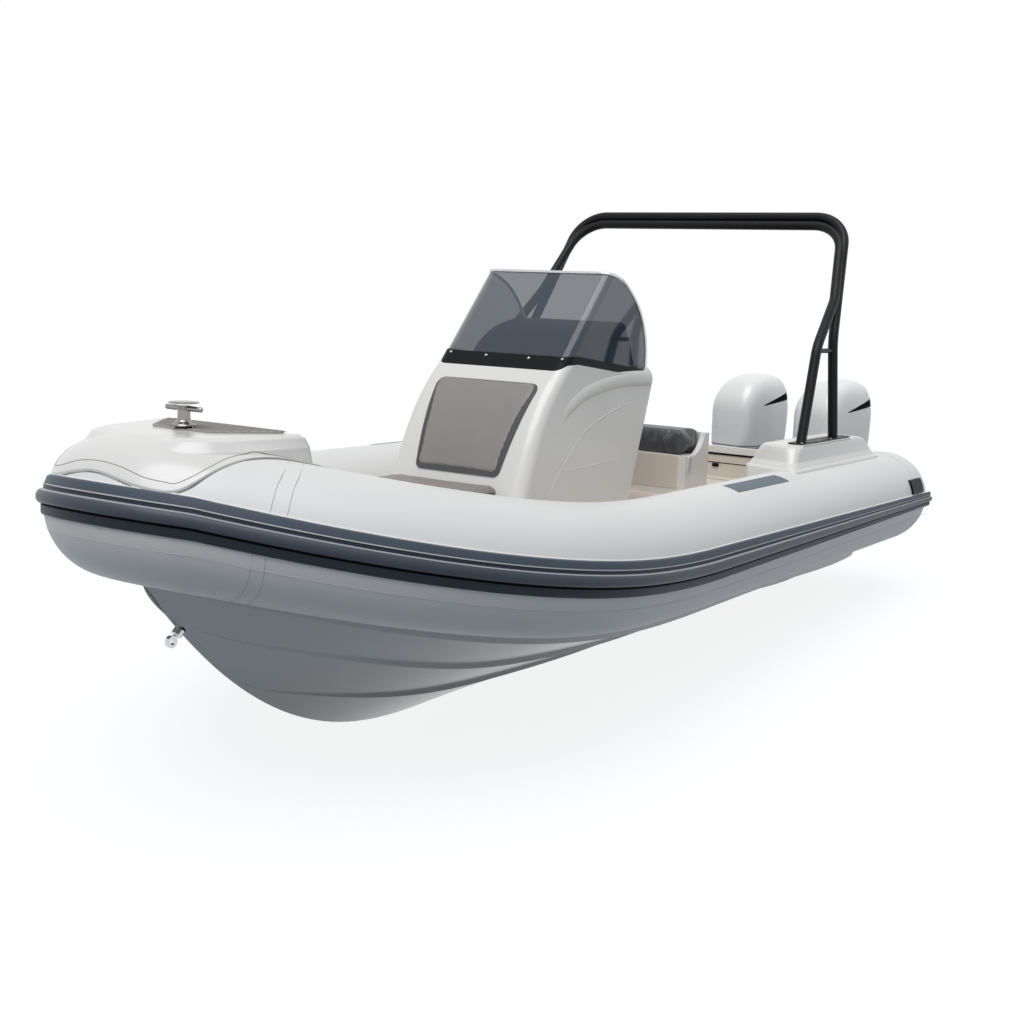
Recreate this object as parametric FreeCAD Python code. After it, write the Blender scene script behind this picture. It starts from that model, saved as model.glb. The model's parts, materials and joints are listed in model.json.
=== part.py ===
import FreeCAD, Part
import math
import os

V = FreeCAD.Vector

# An open rigid inflatable boat with a deep-V hull, centre console, black arch and twin outboards.
# Frame: +X to the bow, +Y to port, +Z up, origin on the centreline in the still waterplane.
# All lengths are in millimetres. Heights named "above_axis" are counted from the tube's centreline.

# Inflatable collar
tube_radius = 300.0
tube_half_beam = 1141.0
tube_axis_height = 440.0
tube_stern_x = -3000.0
tube_cone_length = 300.0
tube_cone_end_radius = 130.0
tube_bow_start_x = 877.0
tube_bow_length = 1930.0
tube_bow_power_share = 2.484
tube_tip_radius = 390.0
sheer_start_x = 392.0
sheer_length = 2408.0
sheer_rise = 362.0
bow_seam_share = 0.80
bow_stations_share = [0.0, 0.16, 0.31, 0.45, 0.57, 0.68, 0.77, 0.84]

# Rubbing strake
strake_height = 158.0
strake_stern_share = 0.56
strake_band_proud = 13.0
strake_nose_proud = 34.0
strake_root = 3.0
strake_bow_lift = 62.0
strake_end_x = -2860.0
# Outline of half a strake section: outward share of the nose, height share of the half height
strake_upper_share = [(0.38, 1.0), (0.38, 0.30), (0.80, 0.26), (1.0, 0.10)]
strake_lower_share = [(1.0, -0.16), (0.80, -0.32), (0.38, -0.38), (0.38, -1.0)]

# Hull moulding
transom_x = -2950.0
keel_depth = 888.0
keel_rise_x = 930.0
keel_rise_length = 1735.0
keel_rise = 845.0
keel_power_share = 2.45
chine_half_beam = 900.0
chine_flat = 55.0
chine_narrow_x = 0.0
chine_narrow_length = 2760.0
chine_power_share = 3.2
chine_depth = 480.0
chine_lift = 500.0
chine_lift_x = -300.0
chine_lift_length = 3000.0
topside_flare = 75.0
topside_flare_share = 0.42
rail_width = 42.0
rail_drop = 22.0
rail_power_share = 2.5
rail_close_share = 0.06
# Spray rails from the keel out: share of the bottom's width, where the line starts to close, where it meets the keel
rails = [(0.36, 900.0, 2100.0), (0.68, 1500.0, 2550.0)]
hull_bow_x = 2725.0
hull_top_above_axis = 30.0
hull_top_spare = 10.0
hull_bow_lift = 150.0
hull_lift_x = 2150.0
hull_stations_share = [0.0, 0.22, 0.42, 0.57, 0.67, 0.74, 0.80, 0.85, 0.90, 0.94, 0.97, 1.0]

# Deck and bow
deck_thickness = 20.0
deck_front_x = 2200.0
bow_step_top_above_axis = 642.0
# Step outlines: height above the axis, aft x, aft half width, front x, front half width, corner radius
bow_step_levels = [
    (30.0, 2200.0, 450.0, 2920.0, 445.0, 415.0),
    (500.0, 2200.0, 450.0, 2920.0, 445.0, 415.0),
    (592.0, 2212.0, 442.0, 2850.0, 395.0, 350.0),
    (630.0, 2226.0, 432.0, 2775.0, 330.0, 200.0),
    (642.0, 2242.0, 418.0, 2715.0, 290.0, 118.0),
]
bow_step_aft_corner = 38.0
# Outer seam of the apron on the port side, from the nose aft
apron_seam = [(2965.0, 0.0), (2957.0, 170.0), (2930.0, 270.0), (2865.0, 370.0), (2774.0, 414.0), (2577.0, 447.0),
              (2350.0, 500.0), (2100.0, 600.0)]
apron_tail = (2150.0, 380.0)
apron_thickness = 8.0
apron_low_above_axis = 330.0
bow_pad_thickness = 8.0
bow_pad_aft_x = 2250.0
bow_pad_front_x = 2530.0
bow_pad_aft_half_width = 380.0
bow_pad_front_half_width = 165.0
bow_pad_corner = 45.0
bollard_x = 2508.0
bollard_base_radius = 48.0
bollard_base_height = 10.0
bollard_post_radius = 30.0
bollard_waist_radius = 23.5
bollard_height = 98.0
bollard_cross_length = 190.0
bollard_cross_radius = 11.0
bow_eye_x = 2541.0
bow_eye_depth = 205.0
bow_eye_reach = 42.0
bow_eye_radius = 26.0
bow_eye_hole_radius = 13.0
bow_eye_thickness = 20.0
bow_eye_shank_radius = 10.0
bow_eye_flange_radius = 24.0
bow_eye_flange_thickness = 8.0

# Console
console_half_width = 440.0
console_top_half_width = 422.0
console_top_above_axis = 880.0
console_front_x = 720.0
console_front_lean = 299.0
console_brow_lean = 171.0
console_brow_power_share = 4.0
console_aft_x = -470.0
console_aft_lean = 304.0
console_levels_share = [0.0, 0.35, 0.6, 0.8, 0.92, 1.04]
# Side profile of the console's top: x and height above the axis, from the brow aft
console_top_profile = [(400.0, 815.0), (284.0, 851.0), (215.0, 884.0), (130.0, 888.0), (-600.0, 806.0), (-690.0, 775.0),
                       (-720.0, 715.0)]
console_corner_radius = 72.0
console_aft_radius = 40.0
console_seat_front_x = 960.0
console_seat_half_width = 355.0
console_seat_top_above_axis = 200.0
console_seat_cushion_height = 75.0
console_seat_corner = 60.0
back_pad_thickness = 42.0
back_pad_depth = 36.0
back_pad_top_half_width = 318.0
back_pad_low_half_width = 256.0
back_pad_low_above_axis = 325.0
back_pad_top_above_axis = 785.0
back_pad_corner = 35.0
dash_height = 230.0
dash_aft_x = -700.0
dash_front_x = 120.0
dash_half_width = 345.0
dash_side_radius = 60.0
soft_clearance = 0.3

# Windscreen
screen_thickness = 6.0
screen_half_width = 410.0
screen_front_x = 250.0
screen_rake = 427.0
screen_rake_height = 490.0
screen_corner_radius = 58.0
screen_edge_centre_x = -100.0
screen_edge_centre_above_axis = 900.0
screen_edge_length = 531.0
screen_edge_height = 472.0
screen_foot_above_axis = 760.0
screen_foot_degrees = -12.0
screen_rail_radius = 9.0
screen_band_height = 44.0
screen_band_thickness = 4.0

# Steering wheel and levers
wheel_y = -40.0
wheel_x = -850.0
wheel_above_axis = 880.0
wheel_radius = 170.0
wheel_rim_radius = 13.0
wheel_hub_radius = 42.0
wheel_hub_thickness = 30.0
wheel_spoke_radius = 8.0
wheel_tilt_degrees = 25.0
helm_radius = 55.0
helm_depth = 45.0
helm_shaft_radius = 12.0
running_clearance = 0.05
binnacle_y = -300.0
binnacle_x = -610.0
binnacle_length = 130.0
binnacle_width = 90.0
binnacle_height = 90.0
lever_length = 150.0
lever_radius = 8.0
lever_spacing = 36.0

# Helm seat
seat_front_x = -1250.0
seat_aft_x = -1560.0
seat_half_width = 400.0
seat_height = 250.0
seat_cushion_height = 150.0
seat_side_thickness = 35.0
seat_side_rise = 130.0

# Stern moulding
well_front_x = -2350.0
well_wall = 50.0
well_top_above_axis = 262.0
well_floor_above_axis = -60.0
well_half_width = 700.0
transom_thickness = 70.0
transom_top_above_axis = 20.0
shoulder_top_above_axis = 262.0
seal_height = 14.0
seal_proud = 4.0
seal_drop = 45.0

# Arch
arch_tube_radius = 30.0
arch_base_above_axis = 452.0
# Port corners of the arch's two tubes from the foot to the top: x, y, height above the axis
arch_after_line = [(-1800.0, 1125.0, 452.0), (-1745.0, 1100.0, 1040.0), (-2155.0, 974.0, 1814.0)]
arch_fore_line = [(-1290.0, 1125.0, 452.0), (-1490.0, 1102.0, 1010.0), (-1812.0, 1064.0, 1290.0),
                  (-2135.0, 954.0, 1760.0)]
arch_base_y = 1125.0
arch_bend = 230.0
arch_tie_above_axis = 985.0
arch_tie_radius = 14.0
arch_foot_sink = 60.0
arch_plate_length = 800.0
arch_plate_width = 95.0
arch_plate_thickness = 12.0
arch_plate_centre_x = -1590.0

# Plinth outlines: height above the axis, front x, aft x, inner y, outer y, corner radius
plinth_levels = [
    (100.0, -940.0, -2440.0, 830.0, 1222.0, 40.0),
    (296.0, -940.0, -2440.0, 830.0, 1222.0, 40.0),
    (312.0, -985.0, -2405.0, 845.0, 1198.0, 45.0),
    (375.0, -1035.0, -2340.0, 875.0, 1190.0, 50.0),
    (418.0, -1090.0, -2240.0, 905.0, 1182.0, 55.0),
    (440.0, -1165.0, -2100.0, 950.0, 1178.0, 60.0),
]

# Fittings on the collar
step_pad_front_x = -150.0
step_pad_aft_x = -812.0
step_pad_inner_y = 1170.0
step_pad_outer_y = 1262.0
step_pad_thickness = 3.0
grab_front_x = -2490.0
grab_aft_x = -2700.0
grab_low_above_axis = 62.0
grab_high_above_axis = 150.0
grab_thickness = 14.0

# Outboard engines
engine_half_spacing = 335.0
engine_tilt_x = -3005.0
engine_tilt_above_axis = 50.0
engine_steer_x = -3105.0
engine_rest_degrees = -15.0
cowl_centre_x = -3515.0
cowl_length = 630.0
cowl_width = 380.0
cowl_bottom_above_axis = 160.0
cowl_height = 575.0
# Cowl sections: height share, length share, width share, aft shift share of the length
cowl_shape_share = [
    (0.0, 0.90, 0.84, 0.0),
    (0.10, 0.97, 0.94, 0.0),
    (0.32, 1.0, 1.0, 0.0),
    (0.58, 0.98, 0.99, -0.005),
    (0.76, 0.91, 0.92, -0.015),
    (0.88, 0.79, 0.79, -0.03),
    (0.96, 0.60, 0.58, -0.045),
    (1.0, 0.36, 0.34, -0.06),
]
cowl_square_share = 3.6
powerhead_length = 420.0
powerhead_width = 260.0
powerhead_height = 340.0
powerhead_clearance = 3.0
tray_height = 60.0
tray_gap = 3.0
leg_top_length = 300.0
leg_top_width = 190.0
leg_mid_length = 235.0
leg_mid_width = 120.0
leg_low_length = 205.0
leg_low_width = 62.0
leg_centre_x = -3315.0
leg_square_share = 2.4
plate_depth = 745.0
plate_length = 400.0
plate_width = 210.0
plate_thickness = 12.0
gearcase_depth = 935.0
gearcase_radius = 58.0
gearcase_length = 400.0
gearcase_nose_x = -3140.0
skeg_depth = 1130.0
skeg_length = 170.0
skeg_thickness = 14.0
prop_radius = 178.0
prop_hub_radius = 57.0
prop_hub_length = 120.0
prop_gap = 6.0
prop_shaft_radius = 13.0
prop_nut_radius = 20.0
prop_nut_length = 22.0
blade_count = 3
blade_thickness = 7.0
blade_pitch_degrees = 38.0
blade_chord = 150.0
bracket_plate_thickness = 16.0
bracket_inner_half_width = 82.0
bracket_height = 330.0
bracket_depth = 70.0
tilt_pin_radius = 16.0
tilt_ear_radius = 34.0
swivel_radius = 46.0
swivel_top_above_axis = 42.0
swivel_bottom_above_axis = -300.0
swivel_gap = 6.0
steer_shaft_radius = 22.0
yoke_thickness = 34.0
yoke_radius = 46.0
tilt_pin_gap = 6.0

# Shared modelling values
overrun = 20.0


def axis_z(height):
    """Height over the waterplane of a point this far above the collar's centreline."""
    return tube_axis_height + height


def sheer(x):
    """Rise of the collar's centreline towards the bow."""
    return sheer_rise * (max(0.0, x - sheer_start_x) / sheer_length) ** 2


def tip_join_share():
    """Share of the bow curve where the tip's arc starts, found by halving."""
    low, high = 0.5, 1.0
    for _ in range(40):
        share = (low + high) / 2
        slope = tube_half_beam * tube_bow_power_share * share ** (tube_bow_power_share - 1) / tube_bow_length
        wanted = tube_tip_radius * math.cos(math.atan(slope))
        if tube_half_beam * (1 - share ** tube_bow_power_share) > wanted:
            low = share
        else:
            high = share
    return low


def curve_station(share):
    """Point and heading of the collar's port centreline at a share of the bow curve."""
    x = tube_bow_start_x + share * tube_bow_length
    y = tube_half_beam * (1 - share ** tube_bow_power_share)
    slope = tube_half_beam * tube_bow_power_share * share ** (tube_bow_power_share - 1) / tube_bow_length
    return x, y, math.atan(slope)


def station_frame(x, y, heading):
    """Centre and outward direction of a collar section on the port side."""
    return V(x, y, axis_z(sheer(x))), V(math.sin(heading), math.cos(heading), 0)


def half_stations():
    """Collar sections on the port side from the start of the sheer to the tip."""
    found = [station_frame(sheer_start_x, tube_half_beam, 0.0)]
    found.append(station_frame((sheer_start_x + tube_bow_start_x) / 2, tube_half_beam, 0.0))
    found += [station_frame(*curve_station(share)) for share in bow_stations_share]
    join_x, _, join_heading = curve_station(tip_join_share())
    centre_x = join_x - tube_tip_radius * math.sin(join_heading)
    steps = 4
    for i in range(steps + 1):
        heading = join_heading + (math.pi / 2 - join_heading) * i / steps
        x = centre_x + tube_tip_radius * math.sin(heading)
        y = tube_tip_radius * math.cos(heading)
        found.append(station_frame(x, max(y, 0.0), heading))
    return found


def all_stations():
    """Collar sections round the bow from port to starboard."""
    half = half_stations()
    other = [(V(c.x, -c.y, c.z), V(n.x, -n.y, 0)) for c, n in reversed(half[:-1])]
    return half + other


def ahead_of_seam(port):
    """Large block in front of one bow seam of the collar."""
    x, y, heading = curve_station(bow_seam_share)
    side = 1 if port else -1
    size = abs(tube_stern_x) * 2
    block = Part.makeBox(size, size * 2, size * 2, V(0, -size, -size))
    block.rotate(V(0, 0, 0), V(0, 0, 1), -side * math.degrees(heading))
    block.translate(V(x, side * y, 0))
    return block


def port_half():
    """Large block over the port half of the boat."""
    size = abs(tube_stern_x) * 2
    return box(-size, size, 0, size, -size, size)


def ring(centre, out, radius):
    """Closed section of a tube, started on its outward side."""
    up = V(0, 0, 1)
    outer = centre + out * radius
    inner = centre - out * radius
    top = centre + up * radius
    low = centre - up * radius
    return Part.Wire([Part.Arc(outer, top, inner).toShape(), Part.Arc(inner, low, outer).toShape()])


def loft(wires, ruled=False):
    """Solid through closed wires."""
    return Part.makeLoft(wires, True, ruled)


def mirror(shape):
    """The same shape on the other side of the boat."""
    return shape.mirror(V(0, 0, 0), V(0, 1, 0))


def fuse(shapes):
    """One solid from shapes that overlap."""
    return shapes[0].multiFuse(shapes[1:]).removeSplitter()


def group(shapes):
    """Separate solids kept in one node."""
    return Part.makeCompound(shapes)


def face_from(points):
    """Flat face inside a closed list of points."""
    return Part.Face(Part.makePolygon(list(points) + [points[0]]))


def slab(points, low, high):
    """Plate with a plan outline between two heights."""
    face = face_from([V(x, y, low) for x, y in points])
    return face.extrude(V(0, 0, high - low))


def box(x0, x1, y0, y1, z0, z1):
    """Block between two corners."""
    return Part.makeBox(x1 - x0, y1 - y0, z1 - z0, V(x0, y0, z0))


def oval(cx, cy, z, half_length, half_width, square):
    """Smooth closed outline between an ellipse and a rectangle, at a height."""
    points = []
    count = 16
    for i in range(count):
        a = 2 * math.pi * i / count
        c, s = math.cos(a), math.sin(a)
        x = half_length * math.copysign(abs(c) ** (2 / square), c)
        y = half_width * math.copysign(abs(s) ** (2 / square), s)
        points.append(V(cx + x, cy + y, z))
    curve = Part.BSplineCurve()
    curve.interpolate(points, PeriodicFlag=True)
    return Part.Wire([curve.toShape()])


def bent_tube(points, radius, bend):
    """Round tube along straight runs joined by tangent arcs."""
    edges = []
    start = points[0]
    for i in range(1, len(points) - 1):
        a = points[i - 1] - points[i]
        b = points[i + 1] - points[i]
        turn = math.pi - a.getAngle(b)
        limit = min(a.Length, b.Length) * 0.45 / math.tan(turn / 2)
        r = min(bend, limit)
        cut = r * math.tan(turn / 2)
        a.normalize()
        b.normalize()
        p = points[i] + a * cut
        q = points[i] + b * cut
        middle = (a + b).normalize()
        centre = points[i] + middle * (r / math.cos(turn / 2))
        m = centre - middle * r
        edges.append(Part.LineSegment(start, p).toShape())
        edges.append(Part.Arc(p, m, q).toShape())
        start = q
    edges.append(Part.LineSegment(start, points[-1]).toShape())
    path = Part.Wire(edges)
    direction = (points[1] - points[0]).normalize()
    profile = Part.Wire([Part.makeCircle(radius, points[0], direction)])
    return path.makePipeShell([profile], True, False)


def rounded_loop(corners):
    """Closed flat outline through corners, each with its own radius."""
    count = len(corners)
    turns = []
    for i in range(count):
        point, radius = corners[i]
        a = corners[i - 1][0] - point
        b = corners[(i + 1) % count][0] - point
        turn = math.pi - a.getAngle(b)
        cut = radius * math.tan(turn / 2)
        a.normalize()
        b.normalize()
        middle = (a + b).normalize()
        m = point + middle * (radius / math.cos(turn / 2) - radius)
        turns.append((point + a * cut, m, point + b * cut))
    edges = []
    for i in range(count):
        p, m, q = turns[i]
        edges.append(Part.Arc(p, m, q).toShape())
        edges.append(Part.LineSegment(q, turns[(i + 1) % count][0]).toShape())
    return Part.Wire(edges)


def round_plate(points, radius, normal, thickness):
    """Plate with every corner of its flat outline rounded."""
    outline = rounded_loop([(point, radius) for point in points])
    return Part.Face(outline).extrude(normal * thickness)


# Collar

def straight_tube(radius):
    """Parallel aft part of the port tube with its rounded stern cone."""
    cone_x = tube_stern_x + tube_cone_length
    start = V(cone_x, tube_half_beam, axis_z(0))
    barrel = Part.makeCylinder(radius, sheer_start_x - cone_x, start, V(1, 0, 0))
    grown = radius - tube_radius
    end_radius = tube_cone_end_radius + grown
    round_end = Part.Ellipse(V(cone_x, end_radius, 0), tube_cone_length, radius - end_radius)
    profile = Part.Wire([
        Part.LineSegment(V(cone_x, 0, 0), V(cone_x, radius, 0)).toShape(),
        round_end.toShape(math.pi / 2, math.pi),
        Part.LineSegment(V(tube_stern_x, end_radius, 0), V(tube_stern_x, 0, 0)).toShape(),
        Part.LineSegment(V(tube_stern_x, 0, 0), V(cone_x, 0, 0)).toShape(),
    ])
    cone = Part.Face(profile).revolve(V(0, 0, 0), V(1, 0, 0), 360)
    cone.translate(V(0, tube_half_beam, axis_z(0)))
    return barrel, cone


def curved_tube(radius):
    """Both curved parts of the collar round the bow, in one piece."""
    return loft([ring(c, n, radius) for c, n in all_stations()])


def side_tube(curved):
    """Port side tube from the stern cone to the bow seam."""
    barrel, cone = straight_tube(tube_radius)
    part = curved.cut(ahead_of_seam(True)).common(port_half())
    return fuse([barrel, cone, part])


def bow_part(curved):
    """What lies round the bow between the two seams."""
    return curved.common(ahead_of_seam(True)).common(ahead_of_seam(False))


def strake_ring(centre, out, size):
    """Moulded section of the rubbing strake on the tube's outer side, higher on the tube at the bow."""
    half = strake_height * size / 2
    radius = tube_radius
    lift = strake_bow_lift * (max(0.0, centre.x - sheer_start_x) / sheer_length) ** 3
    level = math.sqrt(radius ** 2 - lift ** 2)
    points = []
    for reach, height in strake_upper_share + strake_lower_share:
        z = lift + height * half
        if reach > 0.5:
            deep = level + strake_nose_proud * size * reach
        else:
            deep = math.sqrt(radius ** 2 - z ** 2) + strake_band_proud
        points.append(centre + out * deep + V(0, 0, z))
    high = lift + half
    low = lift - half
    upper = centre + out * (math.sqrt(radius ** 2 - high ** 2) - strake_root) + V(0, 0, high)
    lower = centre + out * (math.sqrt(radius ** 2 - low ** 2) - strake_root) + V(0, 0, low)
    back = centre + out * (level - strake_root) + V(0, 0, lift)
    edges = [Part.LineSegment(upper, points[0]).toShape()]
    for p, q in zip(points, points[1:]):
        edges.append(Part.LineSegment(p, q).toShape())
    edges.append(Part.LineSegment(points[-1], lower).toShape())
    edges.append(Part.Arc(lower, back, upper).toShape())
    return Part.Wire(edges)


def curved_strake():
    """Strake round the bow, in one piece."""
    return loft([strake_ring(c, n, 1.0) for c, n in all_stations()])


def side_strake(curved, tube):
    """Strake along the port tube, narrower towards the stern."""
    out = V(0, 1, 0)
    stern = V(strake_end_x, tube_half_beam, axis_z(0))
    start = V(sheer_start_x, tube_half_beam, axis_z(0))
    aft = loft([strake_ring(stern, out, strake_stern_share), strake_ring(start, out, 1.0)], True)
    fore = curved.cut(ahead_of_seam(True)).common(port_half())
    return largest(fuse([aft, fore]).cut(tube))


# Hull

def keel_z(x):
    """Height of the keel line."""
    run = max(0.0, x - keel_rise_x) / keel_rise_length
    return axis_z(-keel_depth + keel_rise * run ** keel_power_share)


def chine_y(x):
    """Half breadth of the hull at the chine's outer edge."""
    run = min(1.0, max(0.0, x - chine_narrow_x) / chine_narrow_length)
    return chine_half_beam * (1 - run ** chine_power_share)


def chine_z(x):
    """Height of the chine."""
    run = max(0.0, x - chine_lift_x) / chine_lift_length
    return axis_z(chine_lift * run ** 2 - chine_depth)


def rail_step(x, start_x, end_x, slope, high, low):
    """Drop of a spray rail at a section, next to nothing ahead of its end."""
    run = min(1.0, max(0.0, x - start_x) / (end_x - start_x))
    step = min(rail_drop, rail_width * slope, (high - low) * rail_close_share)
    return step * (1 - (1 - rail_close_share) * run ** rail_power_share)


def hull_section(x):
    """Closed section of the hull with its spray rails, chine flat and flared topside."""
    outer = chine_y(x)
    inner = outer - min(chine_flat, outer * 0.2)
    low = keel_z(x)
    high = max(chine_z(x), low + rail_drop)
    slope = (high - low) / inner
    side = [(0.0, low)]
    for i, (base, start_x, end_x) in enumerate(rails):
        run = min(1.0, max(0.0, x - start_x) / (end_x - start_x))
        share = max(base * math.sqrt(1 - run ** rail_power_share), rail_close_share * (1 + 2 * i))
        step = rail_step(x, start_x, end_x, slope, high, low)
        y = inner * share
        z = low + slope * y
        width = step / slope
        side.append((y, z))
        side.append((y + width, z + step * 0.05))
        side.append((y + width * 1.12, z + step * 1.12))
    side.append((inner, high))
    side.append((outer, high))
    run = max(0.0, (x - hull_lift_x) / (hull_bow_x - hull_lift_x))
    top = axis_z(hull_top_above_axis) + hull_top_spare + hull_bow_lift * run ** 2
    flare = topside_flare * outer / chine_half_beam
    side.append((outer + flare, high + (top - high) * topside_flare_share))
    side.append((outer, top))
    port = [V(x, y, z) for y, z in side]
    starboard = [V(x, -y, z) for y, z in reversed(side[1:])]
    loop = port + starboard
    return Part.makePolygon(loop + [loop[0]])


def hull_blank():
    """Whole hull before the collar's cradle is cut."""
    span = hull_bow_x - transom_x
    return loft([hull_section(transom_x + span * s) for s in hull_stations_share])


def over_hull_top():
    """Space over the flat part of the hull's top."""
    low = axis_z(hull_top_above_axis)
    return box(transom_x - overrun, deck_front_x, -tube_half_beam, tube_half_beam, low, low + keel_depth)


def plan_inside(front_x):
    """Plan outline on the collar's centreline from the well to a front limit."""
    port = [(well_front_x, tube_half_beam), (tube_bow_start_x, tube_half_beam)]
    steps = 12
    for i in range(1, steps + 1):
        x = tube_bow_start_x + (front_x - tube_bow_start_x) * i / steps
        y = tube_half_beam * (1 - ((x - tube_bow_start_x) / tube_bow_length) ** tube_bow_power_share)
        port.append((x, y))
    return port + [(x, -y) for x, y in reversed(port)]


def deck(collar):
    """Cockpit sole between the tubes."""
    low = axis_z(hull_top_above_axis)
    plate = slab(plan_inside(deck_front_x), low, low + deck_thickness)
    return largest(plate.cut(collar))


def largest(shape):
    """The largest solid of a cut."""
    return max(shape.Solids, key=lambda s: s.Volume)


def deck_z():
    """Height of the cockpit sole."""
    return axis_z(hull_top_above_axis + deck_thickness)


# Bow step, pad and fittings

def step_outline(z, aft_x, aft_half, front_x, front_half, corner):
    """Outline of the bow step at a height, four-cornered with wide front corners."""
    return rounded_loop([
        (V(aft_x, -aft_half, z), bow_step_aft_corner), (V(front_x, -front_half, z), corner),
        (V(front_x, front_half, z), corner), (V(aft_x, aft_half, z), bow_step_aft_corner),
    ])


def apron_outline(z):
    """Plan outline of the apron: its seam round the nose, closed inside the step."""
    port = [V(x, y, z) for x, y in reversed(apron_seam)]
    starboard = [V(p.x, -p.y, z) for p in reversed(port[:-1])]
    curve = Part.BSplineCurve()
    curve.interpolate(port + starboard)
    tail_x, tail_y = apron_tail
    corners = [starboard[-1], V(tail_x, -tail_y, z), V(tail_x, tail_y, z), port[0]]
    lines = [Part.LineSegment(p, q).toShape() for p, q in zip(corners, corners[1:])]
    return Part.Wire([curve.toShape()] + lines)


def bow_step(collar, hull):
    """White step moulding between the tubes with its apron on the bow tube."""
    wires = [step_outline(axis_z(z), aft, aft_half, front, front_half, corner)
             for z, aft, aft_half, front, front_half, corner in bow_step_levels]
    body = loft(wires, True)
    rise = bow_step_top_above_axis - apron_low_above_axis
    prism = Part.Face(apron_outline(axis_z(apron_low_above_axis))).extrude(V(0, 0, rise))
    skin = curved_tube(tube_radius + apron_thickness).common(prism)
    whole = fuse([body, skin])
    return largest(whole.cut(collar).cut(hull))


def bow_pad():
    """Planked foot pad on the bow step."""
    z = axis_z(bow_step_top_above_axis)
    outline = rounded_loop([
        (V(bow_pad_aft_x, -bow_pad_aft_half_width, z), bow_pad_corner),
        (V(bow_pad_front_x, -bow_pad_front_half_width, z), bow_pad_corner),
        (V(bow_pad_front_x, bow_pad_front_half_width, z), bow_pad_corner),
        (V(bow_pad_aft_x, bow_pad_aft_half_width, z), bow_pad_corner),
    ])
    plate = Part.Face(outline).extrude(V(0, 0, bow_pad_thickness))
    hole = Part.makeCylinder(bollard_base_radius + running_clearance, bow_pad_thickness, V(bollard_x, 0, z))
    return plate.cut(hole)


def bollard():
    """Polished mooring post with a cross bar."""
    z = axis_z(bow_step_top_above_axis)
    profile = [
        (0, 0), (bollard_base_radius, 0), (bollard_base_radius, bollard_base_height * 0.6),
        (bollard_post_radius * 1.2, bollard_base_height), (bollard_post_radius, bollard_base_height * 2),
        (bollard_waist_radius, bollard_height * 0.6), (bollard_waist_radius, bollard_height),
        (0, bollard_height),
    ]
    face = face_from([V(r, 0, h) for r, h in profile])
    post = face.revolve(V(0, 0, 0), V(0, 0, 1), 360)
    post.translate(V(bollard_x, 0, z))
    half = bollard_cross_length / 2
    z_bar = z + bollard_height - bollard_cross_radius
    bar = Part.makeCylinder(bollard_cross_radius, bollard_cross_length, V(bollard_x, -half, z_bar), V(0, 1, 0))
    tips = [Part.makeSphere(bollard_cross_radius, V(bollard_x, y, z_bar)) for y in (-half, half)]
    return fuse([post, bar] + tips)


def bow_eye(hull):
    """Polished towing eye on the stem, square to the stem's slope."""
    foot = V(bow_eye_x, 0, axis_z(-bow_eye_depth))
    step = overrun
    stem = V(step, 0, keel_z(bow_eye_x + step) - keel_z(bow_eye_x)).normalize()
    out = V(stem.z, 0, -stem.x)
    centre = foot + out * bow_eye_reach
    half = bow_eye_thickness / 2
    disc = Part.makeCylinder(bow_eye_radius, bow_eye_thickness, centre - V(0, half, 0), V(0, 1, 0))
    hole = Part.makeCylinder(bow_eye_hole_radius, bow_eye_thickness + overrun,
                             centre - V(0, half + overrun / 2, 0), V(0, 1, 0))
    root = foot - out * overrun
    shank = Part.makeCylinder(bow_eye_shank_radius, overrun + bow_eye_reach, root, out)
    flange = Part.makeCylinder(bow_eye_flange_radius, overrun + bow_eye_flange_thickness, root, out)
    return largest(fuse([disc, shank, flange]).cut(hole).cut(hull))


# Console

def console_outline(z):
    """Plan outline of the console at a height, with wide front corners."""
    share = console_share(z)
    front = console_front_at(z)
    aft = console_aft_x - console_aft_lean * share
    half = console_half_width + (console_top_half_width - console_half_width) * share
    return rounded_loop([
        (V(front, -half, z), console_corner_radius), (V(front, half, z), console_corner_radius),
        (V(aft, half, z), console_aft_radius), (V(aft, -half, z), console_aft_radius),
    ])


def console_share(z):
    """Share of the console's height over the deck."""
    return (z - deck_z()) / (axis_z(console_top_above_axis) - deck_z())


def console_front_at(z):
    """Where the console's raked and bowed front is at a height."""
    share = console_share(z)
    return console_front_x - console_front_lean * share - console_brow_lean * share ** console_brow_power_share


def over_console(height, grow):
    """Space over the console's sloping top, from a height over it upwards."""
    low = [V(x, -console_half_width - grow, axis_z(z) + height) for x, z in console_top_profile]
    front = V(console_front_x, low[0].y, low[0].z)
    aft = V(console_aft_x - console_aft_lean - grow, low[0].y, low[-1].z)
    rise = V(0, 0, console_top_above_axis)
    return face_from([front + rise, front] + low + [aft, aft + rise]).extrude(V(0, 2 * (console_half_width + grow), 0))


def front_strip(low, high, inside, outside, half):
    """Slab along the console's front between two depths from its face."""
    steps = 6
    heights = [low + (high - low) * i / steps for i in range(steps + 1)]
    outer = Part.BSplineCurve()
    outer.interpolate([V(console_front_at(z) + outside, -half, z) for z in heights])
    inner = Part.BSplineCurve()
    inner.interpolate([V(console_front_at(z) - inside, -half, z) for z in reversed(heights)])
    top = Part.LineSegment(outer.EndPoint, inner.StartPoint)
    foot = Part.LineSegment(inner.EndPoint, outer.StartPoint)
    wire = Part.Wire([outer.toShape(), top.toShape(), inner.toShape(), foot.toShape()])
    return Part.Face(wire).extrude(V(0, 2 * half, 0))


def pad_window(grow):
    """Four-cornered window of the backrest, seen from the bow."""
    z0 = axis_z(back_pad_low_above_axis) - grow
    z1 = axis_z(back_pad_top_above_axis) + grow
    low = back_pad_low_half_width + grow
    top = back_pad_top_half_width + grow
    points = [V(0, -low, z0), V(0, low, z0), V(0, top, z1), V(0, -top, z1)]
    return round_plate(points, back_pad_corner, V(1, 0, 0), console_front_x)


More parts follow.
